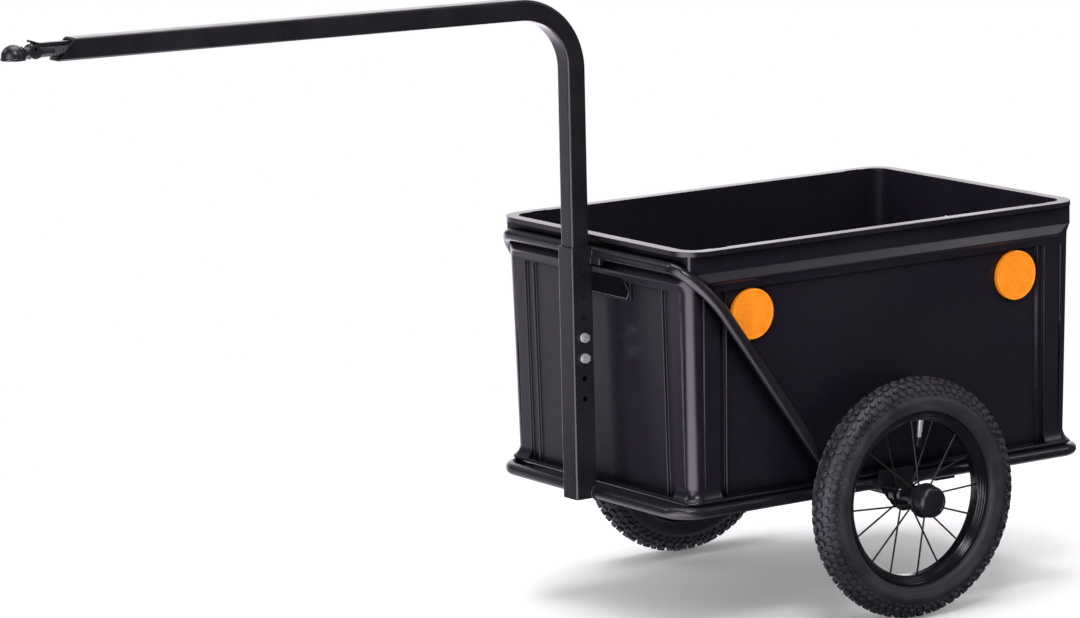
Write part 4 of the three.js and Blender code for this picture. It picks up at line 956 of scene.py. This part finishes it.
def build_wheel(side, hand):
    centre = Vector((side * TRACK_HALF, AXLE_Y, AXLE_Z))

    def wheel_piece(name, shape, slot, node_name=None, sharp=35, material=None):
        verts = [Vector((side * v[0], v[1], v[2])) + centre for v in shape[0]]
        nodes = [hand + "_" + node_name] if node_name else []
        piece(hand + "_" + name, (verts, shape[1]), slot, nodes, sharp, hand + "_wheel", material)

    wheel_piece("tyre_casing", revolve(tyre_profile(), 144), "tyre_rubber", "tyre", 50)
    wheel_piece("tyre_tread", tread(), "tyre_rubber", None, 38)
    wheel_piece("rim_hoop", revolve(rim_profile(), 144), "rim_paint", "rim", 40)
    bars, sleeves = spokes()
    wheel_piece("hub_shell", revolve(hub_profile(), 64), "rim_paint", "hub")
    wheel_piece("spokes", bars, "rim_paint", None, 40, "spoke_paint")
    wheel_piece("nipples", sleeves, "rim_paint", None, 40, "spoke_paint")
    wheel_piece("cap", revolve(cap_profile(), 64), "cap_plastic", "hub_cap")
    pocket = HUB_HALF - BEARING_WIDTH - FIT
    for name, start in (("outer", pocket), ("inner", -pocket - BEARING_WIDTH)):
        race = revolve(bearing_profile(start), 48)
        wheel_piece(name + "_race", race, "bearing_steel", name + "_bearing")
    inflated = lining(TYRE_HALF - TYRE_WALL - FIT, 24)[::-1]
    wheel_piece("tube_ring", revolve(inflated + inflated[:1], 96), "tube_rubber", "inner_tube", 50)
    stem, ridged = valve()
    wheel_piece("valve_stem", stem, "tube_rubber", None, 40, "zinc")
    wheel_piece("valve_cap_ridged", ridged, "cap_plastic", "valve_cap", 40)


build_wheel(1, "left")
build_wheel(-1, "right")

# the axle parts take the dull zinc, darkened partly as painted shade
for hand in ("left", "right"):
    refined(hand + "_axle_bracket", "frame_paint", 0.8)
    refined(hand + "_axle_spacer", "zinc", 0.4, material="dull_zinc_and_painted_shade")
    refined(hand + "_axle_nut", "zinc", 0.5, material="dull_zinc_and_painted_shade")
refined("axle", "zinc", 0.6, material="dull_zinc_and_painted_shade")

for end in ("front", "rear"):
    refined(end + "_crate_strap", "frame_paint", 0.7)
    for hand in ("left", "right"):
        refined(end + "_" + hand + "_crate_bolt", "zinc", 0.3)
        refined(end + "_" + hand + "_crate_nut", "zinc", 0.4)
for level in ("upper", "lower"):
    refined(level + "_height_bolt", "zinc", 0.35)
    refined(level + "_height_nut", "zinc", 0.4)


# Reflectors: a round lens with a raised edge and a field of small prisms

LENS_RADIUS, LENS_THICKNESS, LENS_EDGE = 30.3, 6.5, 2.6
PRISM_PITCH, PRISM_RISE = 3.1, 0.75
REFLECTOR_HEIGHT, REFLECTOR_PLACE, TAIL_HEIGHT, TAIL_PLACE = 237, 201, 150, 92
LEFT, RIGHT, REAR = 0, pi, pi / 2


def lens():
    """The lens facing +X from its seat at x = 0."""
    edge = LENS_RADIUS - LENS_EDGE
    low = LENS_THICKNESS - 1.1
    rim = eased([(LENS_RADIUS - 0.5, 0), (LENS_RADIUS, 0.5), (LENS_RADIUS, LENS_THICKNESS - 0.3),
                 (LENS_RADIUS - 0.9, LENS_THICKNESS), (edge, LENS_THICKNESS), (edge - 0.4, low),
                 (edge - 1.4, low)], 0.25)
    prisms = []
    count = int(edge / PRISM_PITCH) + 1
    for row in range(-count, count + 1):
        for column in range(-count, count + 1):
            y = (column + 0.5 * (row % 2)) * PRISM_PITCH
            z = row * PRISM_PITCH * math.sqrt(3) / 2
            if math.hypot(y, z) > edge - PRISM_PITCH * 0.55:
                continue
            foot = [Vector((0, y, z)) + round_axis(low - 0.05, PRISM_PITCH / math.sqrt(3), (k + 0.5) * pi / 3)
                    for k in range(6)]
            faces = [(k, (k + 1) % 6, 6) for k in range(6)] + [tuple(range(6))]
            prisms.append((foot + [(low + PRISM_RISE, y, z)], faces))
    return joined(revolve([(0, 0)] + rim + [(0, low)], 72), *prisms)


def reflector(name, angle, reach, along, height, slot):
    """A lens on the outer wall that faces an angle, leaning with the wall's draft."""
    seat = Vector((reach - face_inset(height) - PANEL_DEPTH + FIT, along, height))
    leaned, turned = Matrix.Rotation(radians(1), 3, "Y"), Matrix.Rotation(angle, 3, "Z")
    verts = [turned @ (seat + leaned @ Vector(point)) for point in lens_shape[0]]
    piece(name + "_lens", (verts, lens_shape[1]), slot, [name + "_reflector"], 20)


lens_shape = lens()
for end, place in (("front", -REFLECTOR_PLACE), ("rear", REFLECTOR_PLACE)):
    reflector(end + "_left", LEFT, CRATE_HALF[0], place, REFLECTOR_HEIGHT, "amber_lens")
    reflector(end + "_right", RIGHT, CRATE_HALF[0], -place, REFLECTOR_HEIGHT, "amber_lens")
for hand, place in (("left", -TAIL_PLACE), ("right", TAIL_PLACE)):
    reflector("tail_" + hand, REAR, CRATE_HALF[1], place, TAIL_HEIGHT, "red_lens")


# Welds: rippled beads where the frame's pieces meet

WELD_RIPPLE = 1.3
WELD_ARC = [radians(85 + 22 * i) for i in range(9)]
WELDS = [
    # start, end and radius of the straight beads on the left; the right side mirrors them
    *(((197.4, y, 1), (197.6, y, 14), 1.5) for y in (-21.5, 28.5)),
    ((15.2, SLEEVE_Y + 14, 292), (15.2, SLEEVE_Y + 14, 304), 1.3),
    ((15.4, -308.8, 286.8), (15.4, -308.8, 294.8), 1),
    ((17, -306.2, 295.4), (33, -306.2, 295.4), 1),
    *(((184.2, y - 14, 1), (184.2, y + 14, 1), 1.2) for y in (-90, 90)),
]


def bead(points, radius=1.5, closed=False):
    """A weld bead along straight runs between points, swollen at each pool."""
    points = [Vector(p) for p in points]
    stations, shapes = [], []
    travelled = 0
    for a, b in zip(points, points[1:] + points[:1] * closed):
        length = (b - a).length
        steps = max(int(length / (WELD_RIPPLE / 3)), 1)
        for i in range(steps):
            stations.append((a + (b - a) * i / steps, (b - a).normalized()))
            pool = cos((travelled + length * i / steps) / WELD_RIPPLE * 2 * pi)
            shapes.append(circle(radius * (0.86 + 0.14 * pool), 8))
        travelled += length
    return sweep(shapes, stations, (0.31, 0.52, 0.79), closed)


def welds(side):
    """The beads of one side: round the hoop's foot, on the ring beside the sleeve, and the straight ones."""
    mirror = Vector((side, 1, 1))
    foot = hoop_path[0][0] * mirror - HOOP_DOWN * 1.5
    ring = [foot + Vector((side * x, 0, 0)) + HOOP_SECTION_UP * y for x, y in tube_section]
    arc = [round_axis(side * 15.5, TUBE + 0.8, turn) + Vector((0, RING_FRONT, TUBE)) for turn in WELD_ARC]
    straight = [bead([Vector(start) * mirror, Vector(end) * mirror], radius) for start, end, radius in WELDS]
    return [bead(ring, closed=True), bead(arc, 1.4), *straight]


piece("welds", joined(*welds(1), *welds(-1)), "frame_paint", [], 60)


# Stage: a pale floor, a white surround and soft lamps; distances here are in metres

CENTRE = (0, HOME.y * MM, 0)
KEY_SIDE = unit(0.37, -0.93, 0)
BACKDROP_SIDE = unit(-0.81, 0.55, 0.18)
KEY_SPAN, BACKDROP_SPAN = (0.82, 0.94), (0.72, 0.96)  # cosines at which a glow starts and is full
WORLD_LIGHT, WORLD_IN_GLOSS, KEY_IN_GLOSS, BACKDROP_IN_GLOSS = 0.62, 0.08, 2.4, 1.9
FLOOR_LIFT, FLOOR_IN_GLOSS = 0.16, 0.05
FLOOR_WHITE = (0.75, 1.3)  # distances at which the floor starts to turn white and is white
FLOOR_GLOW_REACH = (0.3, 0.7)
FLOOR_GLOWS = (
    # side of the floor, strength, cosines
    (KEY_SIDE, 4.4, KEY_SPAN),
    (unit(-0.86, -0.51, 0), 0.85, (0.95, 0.99)),
    (unit(-1, 0.02, 0), 3, (0.94, 0.97)),
    (unit(-0.82, 0.57, 0), 1.2, (0.88, 0.96)),
)
# The floor under the trailer, as its tubes mirror it, fades by distance and towards +X
UNDER_GLOW, UNDER_IN, UNDER_OUT, UNDER_ACROSS = 0.95, (0.15, 0.3), (0.5, 0.75), (0.19, 0.23)
WHITE, MIRRORED_TINT = (1, 1, 1), (1, 0.92, 1.06)


def combined(tree, first, second, operation):
    return node(tree, "Math", {0: first, 1: second}, operation=operation).outputs["Value"]


def vector_math(tree, operation, *values):
    return node(tree, "VectorMath", dict(enumerate(values)), operation=operation).outputs


def facing(tree, vector, direction):
    """How squarely a vector points in a direction, 1 at most."""
    unit = vector_math(tree, "NORMALIZE", vector)["Vector"]
    return vector_math(tree, "DOT_PRODUCT", unit, direction)["Value"]


def emitted(tree, kind, strength, tint=WHITE):
    """The output of an Emission or a Background node."""
    return node(tree, kind, {"Color": (*tint, 1), "Strength": strength}).outputs[kind]


def chosen(tree, factor, first, second):
    return node(tree, "MixShader", {"Fac": factor, 1: first, 2: second}).outputs["Shader"]


def stage_floor():
    """A pale matt floor that holds the shadow, white far out, and dark in reflections but for its glows."""
    bpy.ops.mesh.primitive_plane_add(size=60, location=(0, 0, -0.0005))
    ground = bpy.context.object
    ground.name = "floor"
    material, tree, shader = new_material("floor")
    fill(tree, shader, {"Base Color": tinted(tree, noise(tree, 2), (0.86, 0.86, 0.87), (0.9, 0.9, 0.91)),
                        "Roughness": 0.9, "Specular IOR Level": 0.1})
    path = node(tree, "LightPath", {}).outputs
    place = node(tree, "TexCoord", {}).outputs["Object"]
    offset = vector_math(tree, "SUBTRACT", place, CENTRE)["Vector"]
    away = vector_math(tree, "LENGTH", offset)["Value"]
    across = node(tree, "SeparateXYZ", {"Vector": offset}).outputs["X"]
    lifted = node(tree, "AddShader", {0: shader.outputs["BSDF"], 1: emitted(tree, "Emission", FLOOR_LIFT)})
    white = chosen(tree, ranged(tree, away, 0, 1, *FLOOR_WHITE), lifted.outputs["Shader"],
                   emitted(tree, "Emission", 1))
    side = FLOOR_IN_GLOSS
    for direction, strength, cosines in FLOOR_GLOWS:
        patch = ranged(tree, facing(tree, offset, direction), 0, strength, *cosines)
        side = combined(tree, side, patch, "ADD")
    side = combined(tree, side, ranged(tree, away, 0, 1, *FLOOR_GLOW_REACH), "MULTIPLY")
    under = ranged(tree, away, 0, UNDER_GLOW, *UNDER_IN)
    for value, span in ((away, UNDER_OUT), (across, UNDER_ACROSS)):
        under = combined(tree, under, ranged(tree, value, 1, 0, *span), "MULTIPLY")
    reflected = emitted(tree, "Emission", combined(tree, side, under, "ADD"), MIRRORED_TINT)
    lit = chosen(tree, path["Is Camera Ray"], shader.outputs["BSDF"], white)
    seen = chosen(tree, path["Is Glossy Ray"], lit, reflected)
    fill(tree, tree.nodes["Material Output"], {"Surface": seen})
    ground.data.materials.append(material)


def surround():
    """White to the camera, soft light elsewhere, and dark in reflections but for two glows."""
    scene.world = bpy.data.worlds.new("studio")
    scene.world.use_nodes = True
    tree = scene.world.node_tree
    tree.nodes.clear()
    path = node(tree, "LightPath", {}).outputs
    direction = node(tree, "TexCoord", {}).outputs["Generated"]
    key = ranged(tree, facing(tree, direction, KEY_SIDE), 0, KEY_IN_GLOSS, *KEY_SPAN)
    backdrop = facing(tree, direction, BACKDROP_SIDE)
    backdrop = ranged(tree, backdrop, WORLD_IN_GLOSS, BACKDROP_IN_GLOSS, *BACKDROP_SPAN)
    reflected = emitted(tree, "Background", combined(tree, backdrop, key, "ADD"), (1, 0.96, 1))
    light = emitted(tree, "Background", WORLD_LIGHT, (1, 0.98, 1))
    shine = chosen(tree, path["Is Glossy Ray"], light, reflected)
    node(tree, "OutputWorld", {
        "Surface": chosen(tree, path["Is Camera Ray"], shine, emitted(tree, "Background", 1))})


def lamp(name, place, target, size, power, tint=WHITE):
    made = linked(name, adjusted(bpy.data.lights.new(name, "AREA"), shape="RECTANGLE", size=size[0],
                                 size_y=size[1], energy=power, color=tint))
    made.location = place
    made.rotation_euler = (Vector(target) - Vector(place)).to_track_quat("-Z", "Y").to_euler()


surround()
stage_floor()
lamp("side_softbox", (-3.0, -2.6, 3.2), (0, 0.3, 0.35), (1.6, 1.4), 24, (1, 0.94, 1))
lamp("top_softbox", (-0.4, 0.2, 3.6), (0, 0.2, 0.3), (2.6, 2.2), 85, (1, 0.96, 1))
lamp("front_strip", (1.4, -4.2, 2.4), (0, 0.2, 0.4), (0.5, 2.2), 22)
lamp("edge_strip", (2.6, 3.4, 2.6), (0, 0.4, 0.4), (0.5, 2.0), 16)
lamp("key_softbox", (1.6, -0.7, 2.3), (0.15, 0.38, 0.25), (0.7, 0.7), 22)


# Camera: the lens and the place that the crate's rim gives

CAMERA_PLACE = (4.98, -3.38243, 1.4618)
RIGHT_UP_BACK = ((0.5666, 0.8237, -0.02226), (-0.13188, 0.11732, 0.9843), (0.81337, -0.55476, 0.1751))
camera_data = adjusted(bpy.data.cameras.new("camera"), sensor_width=36, lens=171.4, clip_end=200)
scene.camera = linked("camera", camera_data)
scene.camera.matrix_world = Matrix.Translation(CAMERA_PLACE) @ Matrix(RIGHT_UP_BACK).transposed().to_4x4()
scene.view_settings.view_transform = "Standard"
